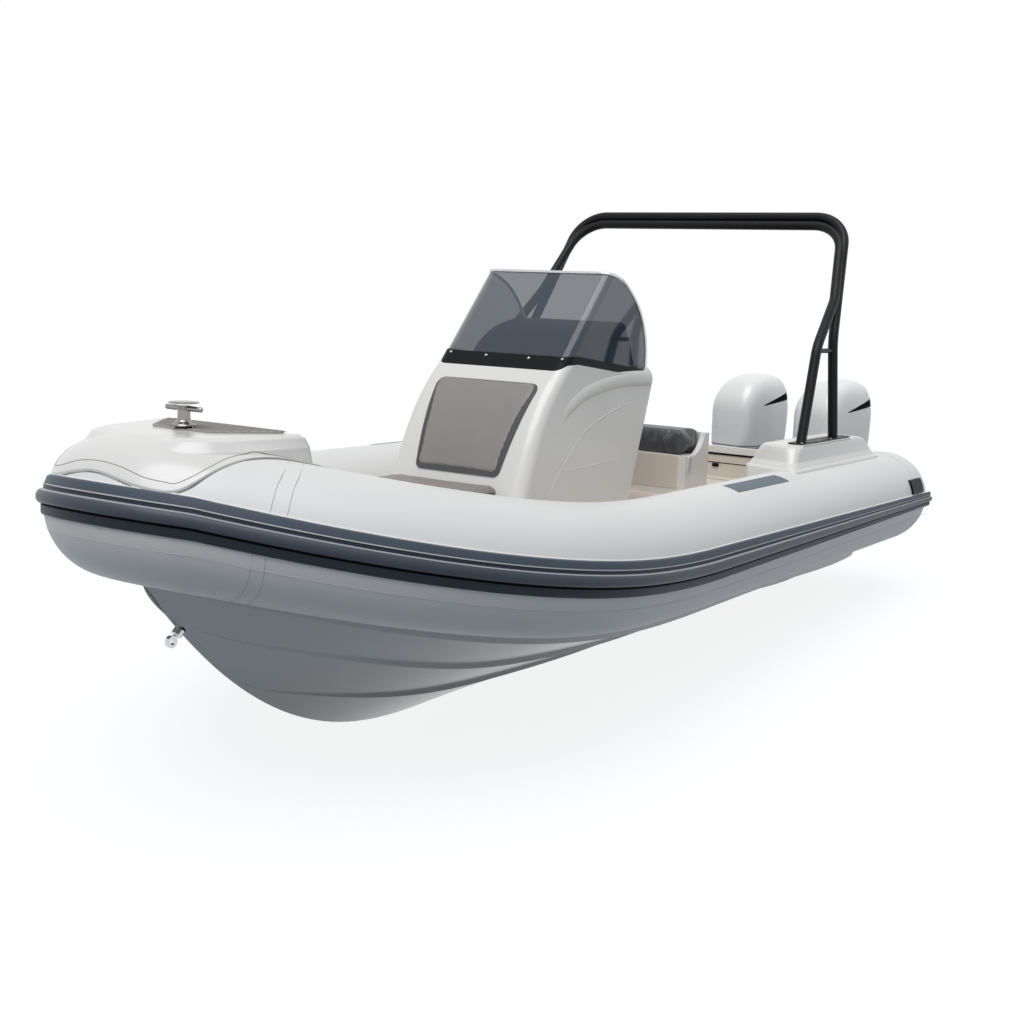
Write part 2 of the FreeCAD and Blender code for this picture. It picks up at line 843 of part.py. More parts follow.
def console():
    """Console moulding with its forward seat and the backrest's recess."""
    low = deck_z()
    rise = axis_z(console_top_above_axis) - low
    body = loft([console_outline(low + rise * share) for share in console_levels_share])
    body = body.cut(over_console(0.0, overrun))
    seat = box(console_front_at(axis_z(back_pad_low_above_axis)) - overrun, console_seat_front_x,
               -console_seat_half_width, console_seat_half_width, low, axis_z(console_seat_top_above_axis))
    edges = [e for e in seat.Edges if abs(e.tangentAt(e.FirstParameter).z) > 0.9
             and e.CenterOfMass.x > console_seat_front_x - overrun]
    seat = seat.makeFillet(console_seat_corner, edges)
    strip = front_strip(axis_z(back_pad_low_above_axis) - overrun, axis_z(back_pad_top_above_axis) + overrun,
                        back_pad_depth + soft_clearance, back_pad_thickness, console_half_width)
    return fuse([body, seat]).cut(strip.common(pad_window(soft_clearance)))


def console_seat_cushion():
    """Cushion on the console's forward seat."""
    z = axis_z(console_seat_top_above_axis) + soft_clearance
    x0 = console_front_at(z) + soft_clearance
    x1 = console_seat_front_x
    half = console_seat_half_width
    points = [V(x0, -half, z), V(x1, -half, z), V(x1, half, z), V(x0, half, z)]
    return round_plate(points, console_seat_corner, V(0, 0, 1), console_seat_cushion_height)


def back_pad():
    """Backrest panel let into the console's raked front."""
    strip = front_strip(axis_z(back_pad_low_above_axis) - overrun, axis_z(back_pad_top_above_axis) + overrun,
                        back_pad_depth, back_pad_thickness - back_pad_depth, console_half_width)
    return largest(strip.common(pad_window(0.0)))


def dash():
    """Dark instrument hood on top of the console, rounded over and at its sides."""
    low = axis_z(console_top_profile[4][1])
    length = dash_front_x - dash_aft_x
    top = axis_z(console_top_above_axis) + dash_height
    curve = Part.BSplineCurve()
    curve.interpolate([
        V(dash_front_x, 0, low), V(dash_front_x - length * 0.16, 0, low + (top - low) * 0.62),
        V(dash_front_x - length * 0.42, 0, low + (top - low) * 0.93), V(dash_front_x - length * 0.8, 0, top),
    ])
    back = Part.LineSegment(V(dash_front_x - length * 0.8, 0, top), V(dash_aft_x, 0, low)).toShape()
    base = Part.LineSegment(V(dash_aft_x, 0, low), V(dash_front_x, 0, low)).toShape()
    face = Part.Face(Part.Wire([curve.toShape(), back, base]))
    solid = face.extrude(V(0, 2 * dash_half_width, 0))
    solid.translate(V(0, -dash_half_width, 0))
    sides = [e for e in solid.Edges if abs(abs(e.CenterOfMass.y) - dash_half_width) < 1.0
             and e.CenterOfMass.z > low + overrun]
    return solid.makeFillet(dash_side_radius, sides)


# Windscreen

def screen_front_at(z):
    """Where the windscreen's raked front is at a height."""
    return screen_front_x - screen_rake * (z - axis_z(console_top_above_axis)) / screen_rake_height


def screen_outline(z, inset):
    """Closed plan outline of the windscreen's wrap at a height."""
    front = screen_front_at(z) - inset
    half = screen_half_width - inset
    aft = screen_edge_centre_x - screen_edge_length * 1.2
    radius = screen_corner_radius - inset
    return rounded_loop([
        (V(front, -half, z), radius), (V(front, half, z), radius),
        (V(aft, half, z), overrun), (V(aft, -half, z), overrun),
    ])


def screen_side_face(grow):
    """Side profile of the windscreen: an ellipse aft, open to the front."""
    y = -console_half_width
    centre = V(screen_edge_centre_x, y, axis_z(screen_edge_centre_above_axis))
    oval_edge = Part.Ellipse(centre + V(0, 0, 0), screen_edge_length + grow, screen_edge_height + grow)
    oval_edge.rotate(FreeCAD.Placement(centre, V(1, 0, 0), 90))
    foot = axis_z(screen_foot_above_axis)
    disc = Part.Face(Part.Wire([oval_edge.toShape()])).extrude(V(0, 2 * console_half_width, 0))
    fore = box(screen_edge_centre_x, console_front_x, y, -y, foot, centre.z + screen_edge_height + grow)
    return disc.common(box(centre.x - 2 * screen_edge_length, console_front_x, y, -y, foot, centre.z * 2)).fuse(fore)


def screen_wall(outer_inset, inner_inset):
    """Wall between two insets of the windscreen's wrap."""
    low = axis_z(screen_foot_above_axis)
    high = axis_z(screen_edge_centre_above_axis + screen_edge_height) + overrun
    outer = loft([screen_outline(low, outer_inset), screen_outline(high, outer_inset)], True)
    inner = loft([screen_outline(low, inner_inset), screen_outline(high, inner_inset)], True)
    return outer.cut(inner)


def windscreen():
    """Tinted wrap-round windscreen."""
    wall = screen_wall(0.0, screen_thickness)
    return largest(wall.common(screen_side_face(0.0)).common(over_console(0.0, overrun)))


def screen_rail_points():
    """Port half of the rail's line: up the aft edge, round the corner and to the middle."""
    lift = screen_rail_radius + soft_clearance
    half = screen_half_width - screen_thickness / 2
    length = screen_edge_length + lift
    height = screen_edge_height + lift
    centre_z = axis_z(screen_edge_centre_above_axis)
    points = []
    for degrees in (screen_foot_degrees, 5.0, 22.0, 39.0, 56.0):
        a = math.radians(degrees)
        points.append(V(screen_edge_centre_x - length * math.cos(a), half, centre_z + height * math.sin(a)))
    radius = screen_corner_radius
    for degrees in (0.0, 30.0, 60.0, 90.0):
        a = math.radians(degrees)
        z = centre_z + height
        for _ in range(4):
            x = screen_front_at(z) - radius + radius * math.sin(a)
            run = max(0.0, screen_edge_centre_x - x) / length
            z = centre_z + height * math.sqrt(1 - run ** 2)
        points.append(V(x, half - radius + radius * math.cos(a), z))
    points.append(V(points[-1].x, (half - radius) / 2, points[-1].z))
    points.append(V(points[-1].x, 0, points[-1].z))
    return points


def screen_rail():
    """Polished rail on the windscreen's aft edges and top."""
    port = screen_rail_points()
    starboard = [V(p.x, -p.y, p.z) for p in reversed(port[:-1])]
    curve = Part.BSplineCurve()
    curve.interpolate(port + starboard)
    direction = curve.tangent(curve.FirstParameter)[0]
    profile = Part.Wire([Part.makeCircle(screen_rail_radius, port[0], direction)])
    return Part.Wire([curve.toShape()]).makePipeShell([profile], True, False)


def screen_band():
    """Dark trim along the foot of the windscreen."""
    wall = screen_wall(-screen_band_thickness, 0.0)
    keep = over_console(0.0, overrun).cut(over_console(screen_band_height, 2 * overrun))
    return largest(wall.common(keep).common(screen_side_face(-overrun)))


# Helm

def helm_axis():
    """Direction from the dash along the wheel's shaft towards the helmsman."""
    a = math.radians(wheel_tilt_degrees)
    return V(-math.cos(a), 0, math.sin(a))


def helm_point(distance):
    """Point on the wheel's shaft at a distance in front of the rim's plane."""
    return V(wheel_x, wheel_y, axis_z(wheel_above_axis)) - helm_axis() * distance


def steering_wheel():
    """Rim, spokes and hub of the wheel."""
    axis = helm_axis()
    centre = helm_point(0.0)
    rim = Part.makeTorus(wheel_radius, wheel_rim_radius, centre, axis)
    hub = Part.makeCylinder(wheel_hub_radius, wheel_hub_thickness, helm_point(wheel_hub_thickness), axis)
    side = V(0, 1, 0)
    up = axis.cross(side)
    spokes = []
    for degrees in (90, 210, 330):
        a = math.radians(degrees)
        direction = side * math.cos(a) + up * math.sin(a)
        start = helm_point(wheel_hub_thickness / 2)
        end = centre + direction * wheel_radius
        spokes.append(Part.makeCylinder(wheel_spoke_radius, (end - start).Length, start, end - start))
    bore = Part.makeCylinder(helm_shaft_radius + running_clearance, wheel_hub_thickness * 0.7,
                             helm_point(wheel_hub_thickness), axis)
    return fuse([rim, hub] + spokes).cut(bore)


def helm_unit():
    """Helm pump and shaft behind the wheel."""
    axis = helm_axis()
    gap = 8.0
    back = wheel_hub_thickness + gap
    body = Part.makeCylinder(helm_radius, helm_depth * 3, helm_point(back + helm_depth * 3), axis)
    shaft = Part.makeCylinder(helm_shaft_radius, gap + wheel_hub_thickness * 0.6, helm_point(back), axis)
    return fuse([body, shaft])


def binnacle():
    """Twin throttle and shift control."""
    z = axis_z(console_top_profile[4][1])
    x = binnacle_x
    body = box(x - binnacle_length / 2, x + binnacle_length / 2,
               binnacle_y - binnacle_width / 2, binnacle_y + binnacle_width / 2, z, z + binnacle_height)
    levers = []
    for side in (-1, 1):
        y = binnacle_y + side * lever_spacing / 2
        start = V(x, y, z + binnacle_height / 2)
        end = start + V(-lever_length * 0.3, 0, lever_length)
        levers.append(Part.makeCylinder(lever_radius, (end - start).Length, start, end - start))
        levers.append(Part.makeSphere(lever_radius * 2, end))
    return fuse([body] + levers)


# Helm seat

def seat_base():
    """Seat moulding with raised curved sides."""
    low = deck_z()
    top = low + seat_height
    core = box(seat_aft_x, seat_front_x, -seat_half_width + seat_side_thickness,
               seat_half_width - seat_side_thickness, low, top)
    rise = top + seat_side_rise
    length = seat_front_x - seat_aft_x
    edges = [
        Part.LineSegment(V(seat_front_x, 0, low), V(seat_front_x, 0, top)).toShape(),
        Part.Arc(V(seat_front_x, 0, top), V(seat_aft_x + length * 0.42, 0, top + seat_side_rise * 0.22),
                 V(seat_aft_x + length * 0.2, 0, rise)).toShape(),
        Part.LineSegment(V(seat_aft_x + length * 0.2, 0, rise), V(seat_aft_x, 0, rise)).toShape(),
        Part.LineSegment(V(seat_aft_x, 0, rise), V(seat_aft_x, 0, low)).toShape(),
        Part.LineSegment(V(seat_aft_x, 0, low), V(seat_front_x, 0, low)).toShape(),
    ]
    profile = Part.Face(Part.Wire(edges))
    sides = []
    for y in (-seat_half_width, seat_half_width - seat_side_thickness):
        side = profile.extrude(V(0, seat_side_thickness, 0))
        side.translate(V(0, y, 0))
        sides.append(side)
    back = box(seat_aft_x, seat_aft_x + seat_side_thickness, -seat_half_width, seat_half_width, low, rise)
    return fuse([core, back] + sides)


def seat_cushion():
    """Thick cushion between the seat's sides."""
    z = deck_z() + seat_height + soft_clearance
    half = seat_half_width - seat_side_thickness - soft_clearance
    x0 = seat_aft_x + seat_side_thickness + soft_clearance
    points = [V(x0, -half, z), V(seat_front_x, -half, z), V(seat_front_x, half, z), V(x0, half, z)]
    return round_plate(points, seat_side_thickness, V(0, 0, 1), seat_cushion_height)


# Stern

def stern_moulding(collar, plinths):
    """Splash well, cockpit bulkhead and transom shoulders."""
    floor = axis_z(well_floor_above_axis)
    low = axis_z(hull_top_above_axis)
    top = axis_z(well_top_above_axis)
    bulkhead = box(well_front_x - well_wall, well_front_x, -tube_half_beam, tube_half_beam, low, top)
    block = box(transom_x, well_front_x - well_wall, -tube_half_beam, tube_half_beam, low,
                axis_z(shoulder_top_above_axis))
    well = box(transom_x - overrun, well_front_x - well_wall, -well_half_width, well_half_width,
               floor, axis_z(shoulder_top_above_axis) + overrun)
    return largest(fuse([bulkhead, block]).cut(well).cut(collar).cut(plinths))


def well_cut():
    """Space of the splash well that is taken from the hull."""
    return box(transom_x + transom_thickness, well_front_x - well_wall, -well_half_width, well_half_width,
               axis_z(well_floor_above_axis), axis_z(hull_top_above_axis) + overrun)


def transom_notch():
    """Space over the transom's top between the shoulders."""
    return box(transom_x - overrun, transom_x + transom_thickness, -well_half_width, well_half_width,
               axis_z(transom_top_above_axis), axis_z(hull_top_above_axis) + overrun)


def well_seal():
    """Black rubber line under the bulkhead's ledge."""
    top = axis_z(well_top_above_axis) - seal_drop
    return box(well_front_x, well_front_x + seal_proud, -well_half_width, well_half_width, top - seal_height, top)


# Arch

def arch_tube(line):
    """One bent tube of the arch from foot to foot."""
    port = [V(x, y, axis_z(z)) for x, y, z in line]
    port[0] = port[0] + (port[0] - port[1]).normalize() * arch_foot_sink
    starboard = [V(p.x, -p.y, p.z) for p in reversed(port)]
    return bent_tube(port + starboard, arch_tube_radius, arch_bend)


def line_at(line, height):
    """Point on one of the arch's port lines at a height."""
    for a, b in zip(line, line[1:]):
        if a[2] <= height <= b[2]:
            share = (height - a[2]) / (b[2] - a[2])
            return V(*[p + (q - p) * share for p, q in zip(a, b)])
    return V(*line[-1])


def arch():
    """Welded frame of an after tube and a forward tube that joins it, with a tie between the legs."""
    rise = V(0, 0, axis_z(0))
    start = line_at(arch_after_line, arch_tie_above_axis) + rise
    end = line_at(arch_fore_line, arch_tie_above_axis) + rise
    tie = Part.makeCylinder(arch_tie_radius, (end - start).Length, start, end - start)
    size = abs(tube_stern_x) * 2
    under = box(-size, size, -size, size, 0, axis_z(arch_base_above_axis))
    return fuse([arch_tube(arch_after_line), arch_tube(arch_fore_line), tie, mirror(tie)]).cut(under)


def arch_plates():
    """Black base plates under the arch's feet."""
    z = axis_z(arch_base_above_axis) - arch_plate_thickness
    x0 = arch_plate_centre_x - arch_plate_length / 2
    x1 = arch_plate_centre_x + arch_plate_length / 2
    y0 = arch_base_y - arch_plate_width / 2
    y1 = arch_base_y + arch_plate_width / 2
    points = [V(x0, y0, z), V(x1, y0, z), V(x1, y1, z), V(x0, y1, z)]
    port = round_plate(points, arch_plate_width * 0.3, V(0, 0, 1), arch_plate_thickness)
    return group([port, mirror(port)])


def plinth(collar):
    """White moulding that carries the arch on the port tube, with a skirt and a bowed nose."""
    wires = []
    for height, front, aft, inner, outer, corner in plinth_levels:
        z = axis_z(height)
        wires.append(rounded_loop([
            (V(front, inner, z), corner), (V(front, outer, z), corner),
            (V(aft, outer, z), corner), (V(aft, inner, z), corner),
        ]))
    return largest(loft(wires, True).cut(collar))


# Fittings on the collar

def skin_patch(thickness, x0, x1, y0, y1, z0, z1):
    """Patch of a thin skin on the port tube inside a block."""
    length = x1 - x0
    start = V(x0, tube_half_beam, axis_z(0))
    outer = Part.makeCylinder(tube_radius + thickness, length, start, V(1, 0, 0))
    inner = Part.makeCylinder(tube_radius, length, start, V(1, 0, 0))
    return outer.cut(inner).common(box(x0, x1, y0, y1, z0, z1))


def step_pads():
    """Grey non-slip pads on the tubes."""
    port = skin_patch(step_pad_thickness, step_pad_aft_x, step_pad_front_x, step_pad_inner_y, step_pad_outer_y,
                      axis_z(0), axis_z(tube_radius + overrun))
    return group([port, mirror(port)])


def stern_grabs():
    """Black rubber grab patches by the stern cones."""
    port = skin_patch(grab_thickness, grab_aft_x, grab_front_x, tube_half_beam,
                      tube_half_beam + tube_radius + overrun, axis_z(grab_low_above_axis),
                      axis_z(grab_high_above_axis))
    return group([port, mirror(port)])


# Outboard engines, built round the plane y = 0, steered as in the picture and moved to their places

def cowl():
    """Engine cover with a plain hollow for the powerhead."""
    low = axis_z(cowl_bottom_above_axis)
    wires = []
    for height, length, width, shift in cowl_shape_share:
        wires.append(oval(cowl_centre_x + cowl_length * shift, 0, low + cowl_height * height,
                          cowl_length * length / 2, cowl_width * width / 2, cowl_square_share))
    shell = loft(wires)
    c = powerhead_clearance
    hollow = box(cowl_centre_x - powerhead_length / 2 - c, cowl_centre_x + powerhead_length / 2 + c,
                 -powerhead_width / 2 - c, powerhead_width / 2 + c, low, low + powerhead_height + c)
    return shell.cut(hollow)


def powerhead():
    """Engine block, one plain mass."""
    low = axis_z(cowl_bottom_above_axis)
    return box(cowl_centre_x - powerhead_length / 2, cowl_centre_x + powerhead_length / 2,
               -powerhead_width / 2, powerhead_width / 2, low, low + powerhead_height)


def leg():
    """Tray, mid section, plate, gearcase, skeg and steering yokes."""
    top = axis_z(cowl_bottom_above_axis)
    _, length0, width0, _ = cowl_shape_share[0]
    tray = loft([
        oval(cowl_centre_x, 0, top, cowl_length * length0 / 2, cowl_width * width0 / 2, cowl_square_share),
        oval(cowl_centre_x + cowl_length * 0.06, 0, top - tray_height, cowl_length * length0 * 0.38,
             cowl_width * width0 * 0.38, cowl_square_share),
    ], True)
    plate_z = axis_z(-plate_depth)
    column = loft([
        oval(leg_centre_x - leg_top_length * 0.1, 0, top - tray_height + overrun, leg_top_length / 2,
             leg_top_width / 2, leg_square_share),
        oval(leg_centre_x, 0, axis_z(-200.0), leg_mid_length / 2, leg_mid_width / 2, leg_square_share),
        oval(leg_centre_x, 0, plate_z, leg_low_length / 2, leg_low_width / 2, leg_square_share),
        oval(leg_centre_x, 0, axis_z(-gearcase_depth), leg_low_length * 0.45, leg_low_width * 0.4, leg_square_share),
    ], True)
    half = plate_width / 2
    x0 = leg_centre_x + plate_length * 0.4
    x1 = leg_centre_x - plate_length * 0.6
    plate = slab([(x0, 0), (x0 - half, half * 0.8), (x1 + half * 0.3, half), (x1, half * 0.7),
                  (x1, -half * 0.7), (x1 + half * 0.3, -half), (x0 - half, -half * 0.8)],
                 plate_z, plate_z + plate_thickness)
    z = axis_z(-gearcase_depth)
    nose = gearcase_nose_x
    shape = [(0.0, 0.0), (0.02, 0.35), (0.10, 0.75), (0.25, 1.0), (0.70, 1.0), (1.0, 0.93)]
    pts = [V(nose - gearcase_length * a, 0, gearcase_radius * r) for a, r in shape]
    curve = Part.BSplineCurve()
    curve.interpolate(pts)
    end = V(nose - gearcase_length, 0, 0)
    face = Part.Face(Part.Wire([
        curve.toShape(), Part.LineSegment(pts[-1], end).toShape(), Part.LineSegment(end, pts[0]).toShape(),
    ]))
    torpedo = face.revolve(V(nose, 0, 0), V(1, 0, 0), 360)
    torpedo.translate(V(0, 0, z))
    shaft_start = nose - gearcase_length + overrun
    shaft_length = prop_gap + prop_hub_length + prop_gap + overrun
    shaft = Part.makeCylinder(prop_shaft_radius, shaft_length, V(shaft_start, 0, z), V(-1, 0, 0))
    nut_x = nose - gearcase_length - prop_gap - prop_hub_length - prop_gap
    nut = Part.makeCylinder(prop_nut_radius, prop_nut_length, V(nut_x, 0, z), V(-1, 0, 0))
    skeg_top = leg_centre_x
    outline = [V(skeg_top + skeg_length * 0.5, 0, z), V(skeg_top - skeg_length * 0.7, 0, z),
               V(skeg_top - skeg_length * 0.55, 0, axis_z(-skeg_depth)),
               V(skeg_top - skeg_length * 0.15, 0, axis_z(-skeg_depth))]
    skeg = face_from(outline).extrude(V(0, skeg_thickness, 0))
    skeg.translate(V(0, -skeg_thickness / 2, 0))
    pieces = [tray, column, plate, torpedo, shaft, nut, skeg]
    for z0 in (axis_z(swivel_top_above_axis) + swivel_gap, axis_z(swivel_bottom_above_axis) - swivel_gap - yoke_thickness):
        arm = box(leg_centre_x, engine_steer_x, -yoke_radius, yoke_radius, z0, z0 + yoke_thickness)
        boss = Part.makeCylinder(yoke_radius, yoke_thickness, V(engine_steer_x, 0, z0))
        pieces += [arm, boss]
    shaft_low = axis_z(swivel_bottom_above_axis) - swivel_gap - yoke_thickness
    shaft_high = axis_z(swivel_top_above_axis) + swivel_gap + yoke_thickness
    pieces.append(Part.makeCylinder(steer_shaft_radius, shaft_high - shaft_low, V(engine_steer_x, 0, shaft_low)))
    return fuse(pieces)


def swivel_bracket():
    """Bracket between the tilt tube and the steering shaft."""
    low = axis_z(swivel_bottom_above_axis)
    high = axis_z(swivel_top_above_axis)
    z_pin = axis_z(engine_tilt_above_axis)
    barrel = Part.makeCylinder(swivel_radius, high - low, V(engine_steer_x, 0, low))
    half = bracket_inner_half_width - tilt_pin_gap
    eye = Part.makeCylinder(tilt_ear_radius, 2 * half, V(engine_tilt_x, -half, z_pin), V(0, 1, 0))
    web = box(engine_steer_x, engine_tilt_x, -swivel_radius, swivel_radius, z_pin - tilt_ear_radius, high)
    body = fuse([barrel, eye, web])
    bore = Part.makeCylinder(steer_shaft_radius + running_clearance, high - low + overrun * 2,
                             V(engine_steer_x, 0, low - overrun))
    pin = Part.makeCylinder(tilt_pin_radius + running_clearance, 2 * half + overrun * 2,
                            V(engine_tilt_x, -half - overrun, z_pin), V(0, 1, 0))
    return body.cut(bore).cut(pin)


def clamp_bracket():
    """Pair of transom plates with the tilt tube."""
    z_pin = axis_z(engine_tilt_above_axis)
    z_low = z_pin - bracket_height
    gap = 0.3
    face_x = transom_x - gap
    outline = [
        V(face_x, 0, z_low), V(face_x, 0, z_pin), V(engine_tilt_x, 0, z_pin + tilt_ear_radius),
        V(engine_tilt_x - tilt_ear_radius, 0, z_pin), V(face_x - bracket_depth, 0, z_pin - bracket_height * 0.4),
        V(face_x - bracket_depth * 0.6, 0, z_low),
    ]
    pieces = []
    for y in (-bracket_inner_half_width - bracket_plate_thickness, bracket_inner_half_width):
        plate = face_from(outline).extrude(V(0, bracket_plate_thickness, 0))
        plate.translate(V(0, y, 0))
        pieces.append(plate)
    span = bracket_inner_half_width + bracket_plate_thickness
    pieces.append(Part.makeCylinder(tilt_pin_radius, 2 * span, V(engine_tilt_x, -span, z_pin), V(0, 1, 0)))
    cross = box(face_x - bracket_plate_thickness, face_x, -span, span, z_low, z_low + bracket_plate_thickness * 2)
    pieces.append(cross)
    return fuse(pieces)


def propeller():
    """Hub with raked helical blades, built on its shaft's line."""
    z = axis_z(-gearcase_depth)
    x_front = gearcase_nose_x - gearcase_length - prop_gap
    x_mid = x_front - prop_hub_length / 2
    hub = Part.makeCylinder(prop_hub_radius, prop_hub_length, V(x_front - prop_hub_length, 0, z), V(1, 0, 0))
    blades = []
    for k in range(blade_count):
        wires = []
        for radius_share, chord_share, thick_share in ((0.22, 0.62, 1.3), (0.55, 1.0, 1.0), (0.82, 0.9, 0.6), (1.0, 0.35, 0.3)):
            r = prop_radius * radius_share
            pitch = math.atan(math.tan(math.radians(blade_pitch_degrees)) * 0.6 / max(radius_share, 0.3))
            chord = blade_chord * chord_share / 2
            thick = blade_thickness * thick_share / 2
            along = V(math.sin(pitch), math.cos(pitch), 0)
            across = V(math.cos(pitch), -math.sin(pitch), 0)
            middle = V(0, 0, r)
            corners = [middle + along * chord, middle + across * thick, middle - along * chord, middle - across * thick]
            wires.append(Part.makePolygon(corners + [corners[0]]))
        blade = loft(wires, True)
        blade.rotate(V(0, 0, 0), V(1, 0, 0), 360.0 * k / blade_count)
        blade.translate(V(x_mid, 0, z))
        blades.append(blade)
    body = fuse([hub] + blades)
    keep = Part.makeCylinder(prop_radius, prop_hub_length, V(x_front - prop_hub_length, 0, z), V(1, 0, 0))
    bore = Part.makeCylinder(prop_shaft_radius + running_clearance, prop_hub_length + 2 * overrun,
                             V(x_front - prop_hub_length - overrun, 0, z), V(1, 0, 0))
    return largest(body.common(keep).cut(bore))


def engine_nodes(side, y):
    """All nodes of one engine at its place across the transom."""
    made = {
        side + "_cowl": cowl(),
        side + "_powerhead": powerhead(),
        side + "_leg": leg(),
        side + "_swivel_bracket": swivel_bracket(),
        side + "_clamp_bracket": clamp_bracket(),
        side + "_propeller": propeller(),
    }
    for piece in ("_cowl", "_powerhead", "_leg", "_propeller"):
        made[side + piece].rotate(V(engine_steer_x, 0, 0), V(0, 0, 1), engine_rest_degrees)
    for shape in made.values():
        shape.translate(V(0, y, 0))
    return made


def build():
    """All nodes by name."""
    curved = curved_tube(tube_radius)
    port_tube = side_tube(curved)
    front_tube = bow_part(curved)
    collar = Part.makeCompound([port_tube, mirror(port_tube), front_tube])
    round_strake = curved_strake()
    strake = side_strake(round_strake, port_tube)
    hull = hull_blank().cut(over_hull_top()).cut(well_cut()).cut(transom_notch())
    hull = largest(hull.cut(collar))
    pump = helm_unit()
    body = console()
    control = binnacle().cut(body)
    moulded_plinth = plinth(collar)
    nodes = {
        "hull": hull,
        "tube_port": port_tube,
        "tube_starboard": mirror(port_tube),
        "tube_bow": front_tube,
        "strake_port": strake,
        "strake_starboard": mirror(strake),
        "strake_bow": largest(bow_part(round_strake).cut(front_tube)),
        "deck": deck(collar),
        "bow_step": largest(bow_step(collar, hull).cut(round_strake)),
        "bow_pad": bow_pad(),
        "bollard": bollard(),
        "bow_eye": bow_eye(hull),
        "console": body.cut(pump),
        "console_seat_cushion": console_seat_cushion(),
        "console_back_pad": back_pad(),
        "dash_hood": largest(dash().cut(body).cut(pump).cut(control)),
        "windscreen": windscreen(),
        "windscreen_rail": screen_rail(),
        "windscreen_band": screen_band(),
        "steering_wheel": steering_wheel(),
        "helm_unit": pump,
        "throttle_binnacle": control,
        "helm_seat": seat_base(),
        "helm_seat_cushion": seat_cushion(),
        "stern_moulding": stern_moulding(collar, group([moulded_plinth, mirror(moulded_plinth)])),
        "well_seal": well_seal(),
        "arch": arch(),
        "arch_base_plates": arch_plates(),
        "plinth_port": moulded_plinth,
        "plinth_starboard": mirror(moulded_plinth),
        "tube_step_pads": step_pads(),
        "stern_grabs": stern_grabs(),
    }
    nodes.update(engine_nodes("port", engine_half_spacing))
    nodes.update(engine_nodes("starboard", -engine_half_spacing))
    return nodes


os.makedirs("parts", exist_ok=True)
for name, shape in build().items():
    shape.exportStep("parts/" + name + ".step")
    print(name, round(shape.Volume / 1e9, 5), shape.isValid(), len(shape.Solids))
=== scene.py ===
"""An open rigid inflatable boat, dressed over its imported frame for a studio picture.

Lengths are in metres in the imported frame: +X to the bow, +Y to port, +Z up.
"""

import json
import logging
import math
from dataclasses import dataclass, field
from enum import Enum
from typing import ClassVar

import bmesh
import bpy
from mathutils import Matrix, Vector
from mathutils.bvhtree import BVHTree

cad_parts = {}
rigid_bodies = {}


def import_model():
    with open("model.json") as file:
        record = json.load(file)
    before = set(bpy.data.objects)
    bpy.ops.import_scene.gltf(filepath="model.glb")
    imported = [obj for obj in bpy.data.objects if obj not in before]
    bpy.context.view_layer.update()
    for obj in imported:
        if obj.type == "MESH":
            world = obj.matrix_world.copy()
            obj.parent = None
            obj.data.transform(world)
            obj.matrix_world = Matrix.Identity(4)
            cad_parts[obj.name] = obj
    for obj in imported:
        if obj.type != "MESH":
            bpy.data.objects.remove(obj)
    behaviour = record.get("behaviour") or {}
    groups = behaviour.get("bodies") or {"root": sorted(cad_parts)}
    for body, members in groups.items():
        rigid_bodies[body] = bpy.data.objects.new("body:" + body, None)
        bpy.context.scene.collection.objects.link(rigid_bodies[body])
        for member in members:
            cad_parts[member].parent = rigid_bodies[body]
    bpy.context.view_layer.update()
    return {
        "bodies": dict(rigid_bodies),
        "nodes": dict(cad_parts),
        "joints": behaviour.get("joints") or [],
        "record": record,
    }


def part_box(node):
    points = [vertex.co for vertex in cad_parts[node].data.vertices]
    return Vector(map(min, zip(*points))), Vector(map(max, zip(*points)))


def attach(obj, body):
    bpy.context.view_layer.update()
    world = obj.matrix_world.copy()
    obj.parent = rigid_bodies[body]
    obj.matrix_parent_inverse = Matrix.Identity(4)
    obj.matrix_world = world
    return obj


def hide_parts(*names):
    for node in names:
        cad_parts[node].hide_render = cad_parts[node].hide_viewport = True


LOG = logging.getLogger("boat")

Colour = tuple[float, float, float, float]
Point = tuple[float, float, float]
Ring = list[Vector]
Faces = list[tuple[int, ...]]
Socket = bpy.types.NodeSocket

COLLAR_AXIS = 0.440
UP = Vector((0, 0, 1))


def paint(red: int, green: int, blue: int) -> Colour:
    """Linear colour of a display colour.

    Args:
        red: Red from 0 to 255.
        green: Green from 0 to 255.
        blue: Blue from 0 to 255.

    Returns:
        The colour as Blender's sockets take it.
    """
    parts = [v / 255 for v in (red, green, blue)]
    line = [v / 12.92 if v <= 0.04045 else ((v + 0.055) / 1.055) ** 2.4 for v in parts]
    return (line[0], line[1], line[2], 1.0)


def shade_of(colour: Colour, factor: float) -> Colour:
    """A lighter or darker version of a colour."""
    return (colour[0] * factor, colour[1] * factor, colour[2] * factor, 1.0)


class Side(Enum):
    """The two sides of the boat."""

    PORT = 1
    STARBOARD = -1

    @property
    def word(self) -> str:
        """The side's name as node names spell it."""
        return self.name.lower()


class Body(Enum):
    """The bodies that pieces ride on."""

    BOAT = "boat"
    WHEEL = "steering_wheel"
    PORT_ENGINE = "port_engine"
    STARBOARD_ENGINE = "starboard_engine"


# Finishes


